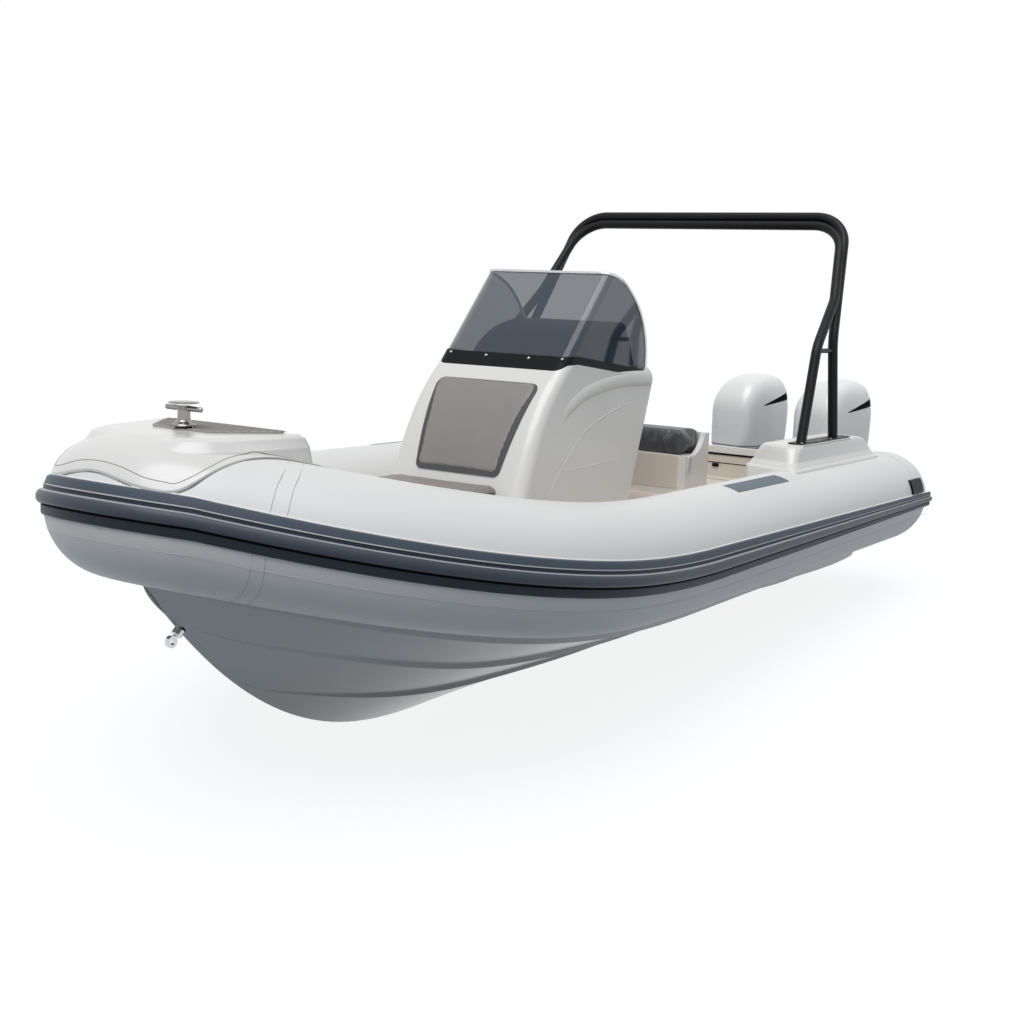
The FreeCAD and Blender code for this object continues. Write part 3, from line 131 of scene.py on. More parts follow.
class Wiring:
    """Short calls that add nodes to a tree and join them."""

    def __init__(self, tree: bpy.types.NodeTree, prefix: str) -> None:
        """Takes the tree to work on.

        Args:
            tree: The node tree.
            prefix: What its nodes' types start with.
        """
        self.nodes = tree.nodes
        self.links = tree.links
        self.prefix = prefix

    def feed(self, value: object, socket: Socket) -> None:
        """Links a socket to an input, or sets the input's value."""
        if isinstance(value, Socket):
            self.links.new(value, socket)
        else:
            socket.default_value = value

    def add(self, kind: str, **inputs: object) -> bpy.types.Node:
        """Adds a node and feeds its inputs.

        Args:
            kind: The node's type without the prefix.
            **inputs: Values or sockets by input name, with underscores for spaces.

        Returns:
            The new node.
        """
        node = self.nodes.new(self.prefix + kind)
        for name, value in inputs.items():
            self.feed(value, node.inputs[name.replace("_", " ")])
        return node

    def math(self, operation: str, first: object, second: object) -> Socket:
        """Result of a sum on two values or sockets."""
        node = self.nodes.new("ShaderNodeMath")
        node.operation = operation
        return self.fill(node, first, second).outputs[0]

    def fill(self, node: bpy.types.Node, *values: object) -> bpy.types.Node:
        """Feeds a node's first inputs in order."""
        for place, value in enumerate(values):
            self.feed(value, node.inputs[place])
        return node


class Graph(Wiring):
    """A material's node tree."""

    def __init__(self, name: str) -> None:
        """Starts an empty material.

        Args:
            name: The material's name.
        """
        self.material = bpy.data.materials.new(name)
        self.material.use_nodes = True
        super().__init__(self.material.node_tree, "ShaderNode")
        self.nodes.clear()
        self.output = self.add("OutputMaterial")

    def place(self, scale: Point = (1.0, 1.0, 1.0)) -> Socket:
        """Object coordinates stretched along the three axes."""
        source = self.add("TexCoord").outputs["Object"]
        return self.add("Mapping", Vector=source, Scale=scale).outputs[0]

    def along(self, axis: int) -> Socket:
        """Place along one axis."""
        return self.add("SeparateXYZ", Vector=self.place()).outputs[axis]

    def ramp(self, value: Socket, low: float, high: float, start: float = 0.0, end: float = 1.0) -> Socket:
        """A value between two limits brought to another range."""
        return self.add("MapRange", Value=value, From_Min=low, From_Max=high, To_Min=start, To_Max=end).outputs[0]

    def noise(self, scale: float, detail: float = 3.0, stretch: Point = (1.0, 1.0, 1.0)) -> Socket:
        """Soft random pattern.

        Args:
            scale: Spots per metre.
            detail: Finer layers on top.
            stretch: Share of the scale along each axis.

        Returns:
            The pattern's value socket.
        """
        return self.add("TexNoise", Vector=self.place(stretch), Scale=scale, Detail=detail).outputs[0]

    def cells(self, scale: float) -> Socket:
        """Distance to the middle of small cells, for grain and dimples."""
        return self.add("TexVoronoi", Vector=self.place(), Scale=scale).outputs[0]

    def mix(self, share: Socket, low: Colour, high: Colour) -> Socket:
        """Colour between two others by a share."""
        node = self.add("Mix")
        node.data_type = "RGBA"
        for place, value in ((0, share), (6, low), (7, high)):
            self.feed(value, node.inputs[place])
        return node.outputs[2]

    def rounded(self, radius: float) -> Socket:
        """Surface direction as if sharp edges were rounded."""
        node = self.add("Bevel", Radius=radius)
        node.samples = 6
        return node.outputs[0]

    def bump(self, height: Socket, depth: float, strength: float = 1.0,
             under: Socket | None = None) -> Socket:
        """Surface direction with relief.

        Args:
            height: The relief's pattern.
            depth: Height of the relief in metres.
            strength: Share of the relief that is used.
            under: Surface direction to start from.

        Returns:
            The direction socket.
        """
        start = {} if under is None else {"Normal": under}
        return self.add("Bump", Height=height, Distance=depth, Strength=strength, **start).outputs[0]

    def finish(self, **inputs: object) -> None:
        """Ends the tree with one surface shader."""
        self.feed(self.add("BsdfPrincipled", **inputs).outputs[0], self.output.inputs[0])


@dataclass(frozen=True)
class Finish:
    """What every finish has.

    Attributes:
        name: Plain name of the finish.
        slot: The record's material slot; not used.
        colour: Base colour.
        roughness: Mean roughness.
        edge: Radius that sharp edges seem to have.
        patches: Spots per metre, layers, and the darkest and lightest shade of the colour.
        wear: Spots per metre, layers, and what the roughness loses and gains.
    """

    patches: ClassVar[tuple[float, float, float, float]] = (9.0, 4.0, 0.93, 1.07)
    wear: ClassVar[tuple[float, float, float, float]] = (6.0, 2.0, 0.03, 0.03)
    name: str
    slot: str
    colour: Colour
    roughness: float = 0.5
    edge: float = 0.0

    def material(self) -> bpy.types.Material:
        """The finish's material, made on first use."""
        title = "finish " + self.name
        found = bpy.data.materials.get(title)
        if found is None:
            graph = Graph(title)
            self.shade(graph)
            found = graph.material
        return found

    def base(self, graph: Graph) -> Socket | None:
        """Direction of the surface before its grain."""
        return graph.rounded(self.edge) if self.edge > 0 else None

    def tint(self, graph: Graph) -> Socket:
        """Colour with its faint unevenness."""
        scale, detail, dark, light = self.patches
        return graph.mix(graph.noise(scale, detail), shade_of(self.colour, dark), shade_of(self.colour, light))

    def rough(self, graph: Graph) -> Socket:
        """Roughness with its faint unevenness."""
        scale, detail, less, more = self.wear
        return graph.ramp(graph.noise(scale, detail), 0.0, 1.0, self.roughness - less, self.roughness + more)

    def shade(self, graph: Graph) -> None:
        """Builds the finish's nodes."""
        raise NotImplementedError


@dataclass(frozen=True)
class CoatedFabric(Finish):
    """Satin coated cloth of an inflated tube, with a faint weave and soft unevenness."""

    patches = (2.2, 4.0, 0.97, 1.02)
    wear = (18.0, 3.0, 0.05, 0.06)
    weave: float = 520.0

    def shade(self, graph: Graph) -> None:
        """Builds the cloth's nodes."""
        soft = graph.bump(graph.noise(4.0, 1.0), 0.0020, 0.2, self.base(graph))
        warp = graph.add("TexWave", Vector=graph.place(), Scale=self.weave, Distortion=0.6)
        warp.bands_direction = "DIAGONAL"
        weave = graph.bump(warp.outputs[1], 0.0001, 0.35, soft)
        graph.finish(Base_Color=self.tint(graph), Roughness=self.rough(graph), Normal=weave)


@dataclass(frozen=True)
class Gelcoat(Finish):
    """Glossy moulded resin with a faint waviness."""

    patches = (2.0, 4.0, 0.975, 1.015)
    wear = (2.0, 2.0, 0.03, 0.03)
    coat: float = 0.3

    def shade(self, graph: Graph) -> None:
        """Builds the resin's nodes."""
        wave = graph.bump(graph.noise(3.0, 0.0), 0.0008, 0.2, self.base(graph))
        graph.finish(Base_Color=self.tint(graph), Roughness=self.rough(graph), Normal=wave,
                     Coat_Weight=self.coat, Coat_Roughness=0.12)


@dataclass(frozen=True)
class PaintedShadeGelcoat(Gelcoat):
    """Resin with painted shade that darkens it downwards, as the hull looks darker over dark water."""

    painted_shade: Colour = (0.2, 0.2, 0.2, 1.0)
    low: float = -0.30
    high: float = 0.10

    def tint(self, graph: Graph) -> Socket:
        """Colour of the resin by its height, with painted shade lower down."""
        # Painted shade: blends from the darker colour at the lower height to the plain colour at the upper one.
        return graph.mix(graph.ramp(graph.along(2), self.low, self.high), self.painted_shade, self.colour)


@dataclass(frozen=True)
class TwoToneGelcoat(Gelcoat):
    """Resin in a second colour over a height or behind a plane."""

    second: Colour = (0.8, 0.8, 0.8, 1.0)
    over: float = 0.650
    behind: float = -2.353

    def tint(self, graph: Graph) -> Socket:
        """Colour of the resin by its place."""
        high = graph.math("GREATER_THAN", graph.along(2), self.over)
        aft = graph.math("LESS_THAN", graph.along(0), self.behind)
        return graph.mix(graph.math("MAXIMUM", high, aft), self.colour, self.second)


@dataclass(frozen=True)
class MouldedRubber(Finish):
    """Extruded or moulded rubber with a fine matt grain."""

    gloss: float = 0.2

    def shade(self, graph: Graph) -> None:
        """Builds the rubber's nodes."""
        grain = graph.bump(graph.noise(700.0), 0.0001, 0.3, self.base(graph))
        graph.finish(Base_Color=self.tint(graph), Roughness=self.rough(graph), Normal=grain,
                     Specular_IOR_Level=self.gloss)


@dataclass(frozen=True)
class NonSlip(Finish):
    """Moulded tread surface with small dimples."""

    patches = (6.0, 5.0, 0.93, 1.04)
    dimples: float = 110.0

    def shade(self, graph: Graph) -> None:
        """Builds the tread's nodes."""
        tread = graph.bump(graph.cells(self.dimples), 0.0006, 0.45, self.base(graph))
        graph.finish(Base_Color=self.tint(graph), Roughness=self.roughness, Normal=tread)


@dataclass(frozen=True)
class GrainedVinyl(Finish):
    """Upholstery vinyl with a leather grain and a soft sheen."""

    patches = (11.0, 5.0, 0.92, 1.06)
    wear = (60.0, 3.0, 0.05, 0.05)
    grain: float = 420.0

    def shade(self, graph: Graph) -> None:
        """Builds the vinyl's nodes."""
        creases = graph.bump(graph.noise(14.0, 3.0), 0.0015, 0.25, self.base(graph))
        grain = graph.bump(graph.cells(self.grain), 0.0004, 0.35, creases)
        graph.finish(Base_Color=self.tint(graph), Roughness=self.rough(graph), Normal=grain,
                     Sheen_Weight=0.15, Sheen_Roughness=0.4)


@dataclass(frozen=True)
class SidedVinyl(GrainedVinyl):
    """Vinyl whose sides below the top panel are another colour."""

    side: Colour = (0.1, 0.1, 0.1, 1.0)
    panel: float = 0.0
    seam: float = 0.001

    def tint(self, graph: Graph) -> Socket:
        """Colour of the vinyl by its height."""
        share = graph.ramp(graph.along(2), self.panel - self.seam, self.panel + self.seam)
        return graph.mix(share, self.side, self.colour)


@dataclass(frozen=True)
class Planking(Finish):
    """Grey synthetic planking with a grain that runs across the boat."""

    def shade(self, graph: Graph) -> None:
        """Builds the planking's nodes."""
        streak = graph.noise(26.0, 6.0, (9.0, 1.0, 1.0))
        grain = graph.bump(streak, 0.0006, 0.5, self.base(graph))
        tone = graph.mix(streak, shade_of(self.colour, 0.72), shade_of(self.colour, 1.18))
        graph.finish(Base_Color=tone, Roughness=self.roughness, Normal=grain)


@dataclass(frozen=True)
class BareMetal(Finish):
    """Polished or brushed metal with faint scratches."""

    scratch: float = 0.04

    def shade(self, graph: Graph) -> None:
        """Builds the metal's nodes."""
        line = graph.noise(160.0, 4.0, (1.0, 1.0, 8.0))
        fine = graph.bump(line, 0.00006, 0.6, self.base(graph))
        rough = graph.ramp(line, 0.0, 1.0, self.roughness - self.scratch, self.roughness + self.scratch)
        graph.finish(Base_Color=self.colour, Roughness=rough, Normal=fine, Metallic=1.0)


@dataclass(frozen=True)
class CoatedMetal(Finish):
    """Powder-coated or sprayed metal with an orange-peel skin."""

    patches = (8.0, 4.0, 0.93, 1.07)
    wear = (6.0, 3.0, 0.03, 0.04)
    gloss: float = 0.5

    def shade(self, graph: Graph) -> None:
        """Builds the coating's nodes."""
        peel = graph.bump(graph.noise(120.0, 1.0), 0.00002, 0.3, self.base(graph))
        graph.finish(Base_Color=self.tint(graph), Roughness=self.rough(graph), Normal=peel,
                     Specular_IOR_Level=self.gloss)


@dataclass(frozen=True)
class TintedSheet(Finish):
    """Clear tinted screen sheet, which covers less on its far side and more on its near one."""

    cover: float = 0.60

    def shade(self, graph: Graph) -> None:
        """Builds the sheet's nodes."""
        across = graph.along(1)
        far = graph.ramp(across, -0.395, -0.340, self.cover * 0.45, self.cover)
        near = graph.ramp(across, 0.370, 0.400, 0.0, self.cover * 0.25)
        graph.finish(Base_Color=self.colour, Roughness=self.roughness, Alpha=graph.math("ADD", far, near), IOR=1.49)


class Paintbox:
    """Every finish of the boat."""

    fabric = CoatedFabric("light collar fabric", "collar_fabric", paint(226, 226, 226), 0.46)
    tape = CoatedFabric("pale seam tape", "collar_fabric", paint(236, 236, 236), 0.40)
    seam = MouldedRubber("grey seam line", "collar_fabric", paint(132, 126, 120), 0.55)
    faint_seam = MouldedRubber("pale seam line", "collar_fabric", paint(200, 200, 201), 0.55)
    slate = MouldedRubber("slate strake band", "strake_rubber", paint(72, 81, 94), 0.50)
    pinstripe = MouldedRubber("light pinstripe", "strake_rubber", paint(188, 190, 193), 0.45)
    navy = MouldedRubber("dark strake band", "strake_rubber", paint(40, 47, 57), 0.50)
    nose = MouldedRubber("strake nose", "strake_rubber", paint(62, 70, 82), 0.42, 0.0, 0.3)
    # A pale band that stands for the highlight on the nose's top edge: painted highlight.
    nose_highlight = MouldedRubber("painted strake highlight", "strake_rubber", paint(158, 161, 166), 0.4)
    groove = MouldedRubber("strake groove", "strake_rubber", paint(8, 10, 12), 0.7, 0.0, 0.05)
    gelcoat = Gelcoat("white gelcoat", "gelcoat_white", paint(220, 220, 218), 0.30, 0.006)
    # The hull grey carries painted shade that darkens it towards the keel.
    hull_gelcoat_painted_shade = PaintedShadeGelcoat("grey gelcoat", "gelcoat_grey", paint(186, 191, 194), 0.26, 0.004, 0.3,
                                 paint(132, 139, 142))
    deck = NonSlip("beige deck", "deck_beige", paint(208, 198, 186), 0.6, 0.004)
    locker = TwoToneGelcoat("beige bulkhead with white ledge", "deck_beige", paint(206, 198, 188), 0.36, 0.004, 0.1,
                            paint(221, 220, 217))
    tread = NonSlip("slate step tread", "pad_grey", paint(104, 114, 124), 0.7, 0.001, 260.0)
    planking = Planking("grey planking", "pad_grey", paint(162, 159, 154), 0.6, 0.002)
    caulk = MouldedRubber("dark caulk", "pad_grey", paint(62, 58, 54), 0.6)
    charcoal = GrainedVinyl("charcoal vinyl", "cushion_dark", paint(62, 64, 69), 0.42)
    grey_vinyl = GrainedVinyl("grey vinyl", "cushion_grey", paint(134, 131, 129), 0.54)
    warm_vinyl = SidedVinyl("warm grey vinyl", "cushion_grey", paint(132, 125, 120), 0.56, 0.0, 420.0,
                            paint(78, 77, 80), 0.692)
    trim = MouldedRubber("black trim", "black_trim", paint(12, 14, 18), 0.45, 0.002, 0.1)
    hood = CoatedMetal("dark dash hood", "black_trim", paint(34, 39, 46), 0.55, 0.0, 0.15)
    tube = CoatedMetal("black powder coat", "black_tube", paint(12, 13, 16), 0.42, 0.002, 0.2)
    polished = BareMetal("polished steel", "polished_steel", paint(206, 206, 208), 0.14, 0.001)
    post_steel = BareMetal("mooring post steel", "polished_steel", paint(150, 148, 146), 0.20, 0.001)
    screw = BareMetal("screw steel", "polished_steel", paint(150, 150, 154), 0.34)
    screen = TintedSheet("tinted screen", "tinted_screen", paint(66, 76, 88), 0.04)
    cowl = Gelcoat("white engine enamel", "engine_white", paint(236, 237, 237), 0.24, 0.004, 0.3)
    casting = CoatedMetal("engine casting", "engine_metal", paint(196, 198, 200), 0.34, 0.003)
    bracket = CoatedMetal("dark bracket enamel", "engine_metal", paint(64, 66, 70), 0.40, 0.003)
    block = CoatedMetal("engine block", "engine_block", paint(90, 90, 92), 0.5, 0.003)
    propeller = BareMetal("propeller steel", "propeller_steel", paint(176, 176, 178), 0.28, 0.001, 0.08)
    beige = Gelcoat("beige locker front", "deck_beige", paint(206, 198, 188), 0.36, 0.002, 0.1)
    shadow_grey = Gelcoat("shaded grey gelcoat", "gelcoat_grey", paint(186, 188, 190), 0.32, 0.002)
    gauge = Gelcoat("gauge glass", "black_trim", paint(18, 22, 28), 0.10, 0.0, 1.0)


# Mesh tools


def put(name: str, data: bpy.types.ID) -> bpy.types.Object:
    """A new object with its data, in the scene."""
    made = bpy.data.objects.new(name, data)
    bpy.context.scene.collection.objects.link(made)
    return made


def plain_mesh(name: str, points: Ring, edges: Faces = (), faces: Faces = ()) -> bpy.types.Mesh:
    """A mesh from points and the numbers of the points that its edges or faces join."""
    mesh = bpy.data.meshes.new(name)
    mesh.from_pydata([tuple(p) for p in points], list(edges), list(faces))
    return mesh


def make_piece(name: str, points: Ring, faces: Faces, finishes: list[Finish],
               marks: list[int] | None = None, sharp: float = 38.0) -> bpy.types.Object:
    """A mesh object with its faces outward and soft shading between shallow faces.

    Args:
        name: The piece's name.
        points: The mesh's points.
        faces: Point numbers of each face.
        finishes: One finish, or one for each mark.
        marks: Number of each face's finish.
        sharp: Angle in degrees from which an edge stays sharp.

    Returns:
        The new object.
    """
    mesh = plain_mesh(name, points, faces=faces)
    for finish in finishes:
        mesh.materials.append(finish.material())
    if marks:
        mesh.polygons.foreach_set("material_index", marks)
    work = bmesh.new()
    work.from_mesh(mesh)
    bmesh.ops.remove_doubles(work, verts=work.verts, dist=1e-6)
    bmesh.ops.recalc_face_normals(work, faces=work.faces)
    work.to_mesh(mesh)
    work.free()
    mesh.shade_smooth()
    mesh.set_sharp_from_angle(angle=math.radians(sharp))
    return put(name, mesh)


def mount(piece: bpy.types.Object, body: Body, finish: Finish, *nodes: str) -> bpy.types.Object:
    """Puts a piece on its body and hides the nodes that it replaces.

    Args:
        piece: The finished object.
        body: The body it rides on.
        finish: Not used.
        *nodes: Nodes that it replaces.

    Returns:
        The same object.
    """
    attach(piece, body.value)
    if nodes:
        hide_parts(*nodes)
    return piece


def skin(rings: list[Ring]) -> tuple[Ring, Faces]:
    """Points and faces through closed rings of equal count, with both ends closed.

    Args:
        rings: The rings in order.

    Returns:
        Points and faces.
    """
    count = len(rings[0])
    points = [p for ring in rings for p in ring]
    faces: Faces = []
    for i in range(len(rings) - 1):
        for j in range(count):
            k = (j + 1) % count
            faces.append((i * count + j, i * count + k, (i + 1) * count + k, (i + 1) * count + j))
    last = (len(rings) - 1) * count
    faces.append(tuple(range(count - 1, -1, -1)))
    faces.append(tuple(last + j for j in range(count)))
    return points, faces


class Shells:
    """Points and faces of several closed shells that make one piece."""

    def __init__(self) -> None:
        """Starts without a shell."""
        self.points: Ring = []
        self.faces: Faces = []

    def add(self, rings: list[Ring]) -> None:
        """Adds a shell through closed rings of equal count."""
        points, faces = skin(rings)
        self.faces += [tuple(i + len(self.points) for i in face) for face in faces]
        self.points += points


def both_ways(port: Ring) -> Ring:
    """A port line from the centreline, with its starboard copy before it."""
    return [Vector((p.x, -p.y, p.z)) for p in reversed(port[1:])] + port


def smooth_line(points: list[Vector], steps: int = 8) -> list[Vector]:
    """Rounded line through points.

    Args:
        points: Points that it passes.
        steps: Parts of each stretch.

    Returns:
        The line's points.
    """
    last = len(points) - 1
    made: list[Vector] = []
    for i in range(last):
        a, b, c, d = (points[min(max(i + k, 0), last)] for k in (-1, 0, 1, 2))
        for j in range(steps):
            t = j / steps
            made.append(0.5 * ((2 * b) + (c - a) * t + (2 * a - 5 * b + 4 * c - d) * t * t
                               + (3 * b - a - 3 * c + d) * t ** 3))
    made.append(points[-1].copy())
    return made


class Skin:
    """Outer surface of some pieces, for laying details on it."""

    def __init__(self, *pieces: bpy.types.Object) -> None:
        """Gathers the pieces' faces.

        Args:
            *pieces: The pieces, in the frame's place.
        """
        points: Ring = []
        faces: Faces = []
        for piece in pieces:
            start = len(points)
            points += [v.co.copy() for v in piece.data.vertices]
            faces += [tuple(start + i for i in face.vertices) for face in piece.data.polygons]
        self.tree = BVHTree.FromPolygons(points, faces)

    def meet(self, start: Vector, direction: Vector, proud: float = 0.0) -> Vector | None:
        """Where a ray from outside meets the surface.

        Args:
            start: A point outside.
            direction: The ray's direction.
            proud: Distance kept in front of the surface.

        Returns:
            The point, or None where there is no surface.
        """
        found = self.tree.ray_cast(start, direction.normalized())[0]
        return None if found is None else found - direction.normalized() * proud

    def drape(self, line: list[Vector], direction: Vector, proud: float = 0.0) -> list[Vector]:
        """A line moved onto the surface, without the points that miss it."""
        far = direction.normalized() * 3.0
        laid = [self.meet(point - far, direction, proud) for point in line]
        return [point for point in laid if point is not None]


@dataclass(frozen=True)
class Plate:
    """A thin plate with rounded corners and a chamfered rim.

    Attributes:
        width: Size along its right direction.
        height: Size along its up direction.
        depth: How far it stands out.
        radius: Radius of its corners.
        finish: Its finish.
    """

    width: float
    height: float
    depth: float
    radius: float
    finish: Finish

    def outline(self, inset: float) -> list[tuple[float, float]]:
        """Rounded outline inside the plate's edge by an inset."""
        radius = max(self.radius - inset, 0.0004)
        made = []
        for turn, (x, y) in enumerate(((1, 1), (-1, 1), (-1, -1), (1, -1))):
            centre = (x * (self.width / 2 - inset - radius), y * (self.height / 2 - inset - radius))
            for i in range(9):
                angle = math.radians(90 * turn + 90 * i / 8)
                made.append((centre[0] + radius * math.cos(angle), centre[1] + radius * math.sin(angle)))
        return made

    def place(self, name: str, spots: list[tuple[Vector, Vector, Vector]],
              body: Body = Body.BOAT) -> bpy.types.Object:
        """Sets the plate at every spot.

        Args:
            name: Name of the piece.
            spots: Each plate's centre, right and up directions.
            body: Body they ride on.

        Returns:
            The new object.
        """
        chamfer = min(0.3 * self.depth, 0.002)
        levels = ((0.0, -0.002), (0.0, self.depth - chamfer), (chamfer, self.depth))
        plates = Shells()
        for centre, right, up in spots:
            right, up = right.normalized(), up.normalized()
            facing = right.cross(up)
            plates.add([[centre + right * x + up * y + facing * level for x, y in self.outline(inset)]
                        for inset, level in levels])
        return mount(make_piece(name, plates.points, plates.faces, [self.finish]), body, self.finish)


@dataclass(frozen=True)
class Turned:
    """A turned piece.

    Attributes:
        profile: Radius and height along its axis at each step.
        finish: Its finish.
        sides: Faces round it.
    """

    profile: tuple[tuple[float, float], ...]
    finish: Finish
    sides: int = 36

    def place(self, name: str, spots: list[tuple[Vector, Vector]], body: Body = Body.BOAT) -> bpy.types.Object:
        """Sets the piece at every spot.

        Args:
            name: Name of the piece.
            spots: Each one's foot and axis.
            body: Body they ride on.

        Returns:
            The new object.
        """
        angles = [2 * math.pi * i / self.sides for i in range(self.sides)]
        turned = Shells()
        for foot, axis in spots:
            axis = axis.normalized()
            first = axis.orthogonal().normalized()
            second = axis.cross(first)
            turned.add([[foot + axis * height + (first * math.cos(a) + second * math.sin(a)) * radius
                         for a in angles] for radius, height in self.profile])
        return mount(make_piece(name, turned.points, turned.faces, [self.finish]), body, self.finish)


# Pieces that geometry nodes make


class NodeTree(Wiring):
    """A geometry node tree with named inputs."""

    def __init__(self, name: str, **sizes: float) -> None:
        """Starts a tree.

        Args:
            name: The tree's name.
            **sizes: Its inputs' values by name, with underscores for spaces.
        """
        self.tree = bpy.data.node_groups.new(name, "GeometryNodeTree")
        super().__init__(self.tree, "")
        self.sizes: dict[str, float] = {}
        for way in ("INPUT", "OUTPUT"):
            self.tree.interface.new_socket(name="Geometry", in_out=way, socket_type="NodeSocketGeometry")
        for key, value in sizes.items():
            kind = "NodeSocketInt" if isinstance(value, int) else "NodeSocketFloat"
            socket = self.tree.interface.new_socket(name=key.replace("_", " "), in_out="INPUT", socket_type=kind)
            socket.default_value = value
            self.sizes[socket.identifier] = value
        self.source = self.add("NodeGroupInput")
        self.result = self.add("NodeGroupOutput")

    def asked(self, name: str) -> Socket:
        """The socket of a named input."""
        return self.source.outputs[name]

    def end(self, geometry: Socket, finish: Finish) -> None:
        """Ends the tree with real geometry in one finish."""
        real = self.add("GeometryNodeRealizeInstances", Geometry=geometry)
        soft = self.add("GeometryNodeSetShadeSmooth", Geometry=real.outputs[0])
        painted = self.add("GeometryNodeSetMaterial", Geometry=soft.outputs[0], Material=finish.material())
        self.feed(painted.outputs[0], self.result.inputs[0])

    def bake(self, name: str, seed: bpy.types.Mesh, sharp: float = 40.0) -> bpy.types.Object:
        """Runs the tree on a seed mesh and keeps the result as a plain mesh.

        Args:
            name: Name of the piece.
            seed: The mesh the tree starts from.
            sharp: Angle in degrees from which an edge stays sharp.

        Returns:
            The new object.
        """
        holder = put(name + "_seed", seed)
        modifier = holder.modifiers.new("make", "NODES")
        modifier.node_group = self.tree
        for key, value in self.sizes.items():
            modifier[key] = value
        graph = bpy.context.evaluated_depsgraph_get()
        mesh = bpy.data.meshes.new_from_object(holder.evaluated_get(graph), depsgraph=graph)
        bpy.data.objects.remove(holder)
        mesh.name = name
        mesh.shade_smooth()
        mesh.set_sharp_from_angle(angle=math.radians(sharp))
        return put(name, mesh)


@dataclass(frozen=True)
class PipedLine:
    """A thin round bead, seam or piping laid along a line.

    Attributes:
        radius: Radius of the bead.
        finish: Its finish.
        sides: Faces round the bead.
    """

    radius: float
    finish: Finish
    sides: int = 8

    def lay(self, name: str, lines: list[list[Vector]], body: Body = Body.BOAT,
            closed: bool = False) -> bpy.types.Object:
        """Lays the bead along one or more lines.

        Args:
            name: Name of the piece.
            lines: The lines' points.
            body: Body it rides on.
            closed: Whether each line closes on itself.

        Returns:
            The new object.
        """
        points: Ring = []
        edges: Faces = []
        for line in lines:
            start = len(points)
            points += line
            edges += [(start + i, start + i + 1) for i in range(len(line) - 1)]
            if closed:
                edges.append((start + len(line) - 1, start))
        seed = plain_mesh(name + "_line", points, edges)
        tree = NodeTree(name + " bead", Radius=self.radius, Sides=self.sides)
        path = tree.add("GeometryNodeMeshToCurve", Mesh=tree.asked("Geometry"))
        profile = tree.add("GeometryNodeCurvePrimitiveCircle", Resolution=tree.asked("Sides"),
                           Radius=tree.asked("Radius"))
        bead = tree.add("GeometryNodeCurveToMesh", Curve=path.outputs[0], Profile_Curve=profile.outputs[0],
                        Fill_Caps=True)
        tree.end(bead.outputs[0], self.finish)
        return mount(tree.bake(name, seed, 60.0), body, self.finish)


@dataclass(frozen=True)
class FastenerRow:
    """Domed screw or bolt heads set square to the surface under them.

    Attributes:
        radius: Radius of a head.
        height: Height of a head.
        finish: Its finish.
        sides: Faces round a head.
    """

    radius: float
    height: float
    finish: Finish
    sides: int = 12

    def place(self, name: str, spots: list[tuple[Vector, Vector]], body: Body = Body.BOAT) -> bpy.types.Object:
        """Sets a head on every spot.

        Args:
            name: Name of the piece.
            spots: Each head's foot and the direction it faces.
            body: Body they ride on.

        Returns:
            The new object.
        """
        seed = plain_mesh(name + "_spots", [p for p, _ in spots])
        facing = seed.attributes.new("facing", "FLOAT_VECTOR", "POINT")
        for i, (_, direction) in enumerate(spots):
            facing.data[i].vector = direction.normalized()
        tree = NodeTree(name + " heads", Radius=self.radius, Height=self.height)
        dome = tree.add("GeometryNodeMeshUVSphere", Segments=self.sides, Rings=8, Radius=1.0)
        scale = tree.add("ShaderNodeCombineXYZ", X=tree.asked("Radius"), Y=tree.asked("Radius"),
                         Z=tree.asked("Height"))
        head = tree.add("GeometryNodeTransform", Geometry=dome.outputs[0], Scale=scale.outputs[0])
        named = tree.add("GeometryNodeInputNamedAttribute", Name="facing")
        named.data_type = "FLOAT_VECTOR"
        turn = tree.add("FunctionNodeAlignRotationToVector", Vector=named.outputs[0])
        turn.axis = "Z"
        heads = tree.add("GeometryNodeInstanceOnPoints", Points=tree.asked("Geometry"), Instance=head.outputs[0],
                         Rotation=turn.outputs[0])
        tree.end(heads.outputs[0], self.finish)
        return mount(tree.bake(name, seed), body, self.finish)


@dataclass(frozen=True)
class CaulkRow:
    """Caulk lines between planks, each as long as the deck is wide there.

    Attributes:
        width: Width of a line.
        rise: Its height over the planks.
        finish: Its finish.
    """

    width: float
    rise: float
    finish: Finish

    def place(self, name: str, start: Vector, pitch: float, count: int, half: float,
              taper: float) -> bpy.types.Object:
        """Lays the lines across the boat from aft forward.

        Args:
            name: Name of the piece.
            start: Middle of the first line.
            pitch: Distance between lines.
            count: Number of lines.
            half: Half length of the first line.
            taper: What each line's half length loses on the last.

        Returns:
            The new object.
        """
        seed = plain_mesh(name + "_seed", [Vector((start.x + pitch * i, start.y, start.z))
                                                for i in range(count)])
        tree = NodeTree(name + " lines", Width=self.width, Rise=self.rise, Half_Length=half, Taper=taper)
        block = tree.add("GeometryNodeMeshCube")
        loss = tree.math("MULTIPLY", tree.add("GeometryNodeInputIndex").outputs[0], tree.asked("Taper"))
        length = tree.math("MULTIPLY", tree.math("SUBTRACT", tree.asked("Half Length"), loss), 2.0)
        scale = tree.add("ShaderNodeCombineXYZ", X=tree.asked("Width"), Y=length, Z=tree.asked("Rise"))
        lines = tree.add("GeometryNodeInstanceOnPoints", Points=tree.asked("Geometry"), Instance=block.outputs[0],
                         Scale=scale.outputs[0])
        tree.end(lines.outputs[0], self.finish)
        return mount(tree.bake(name, seed), Body.BOAT, self.finish)


# Soft pieces


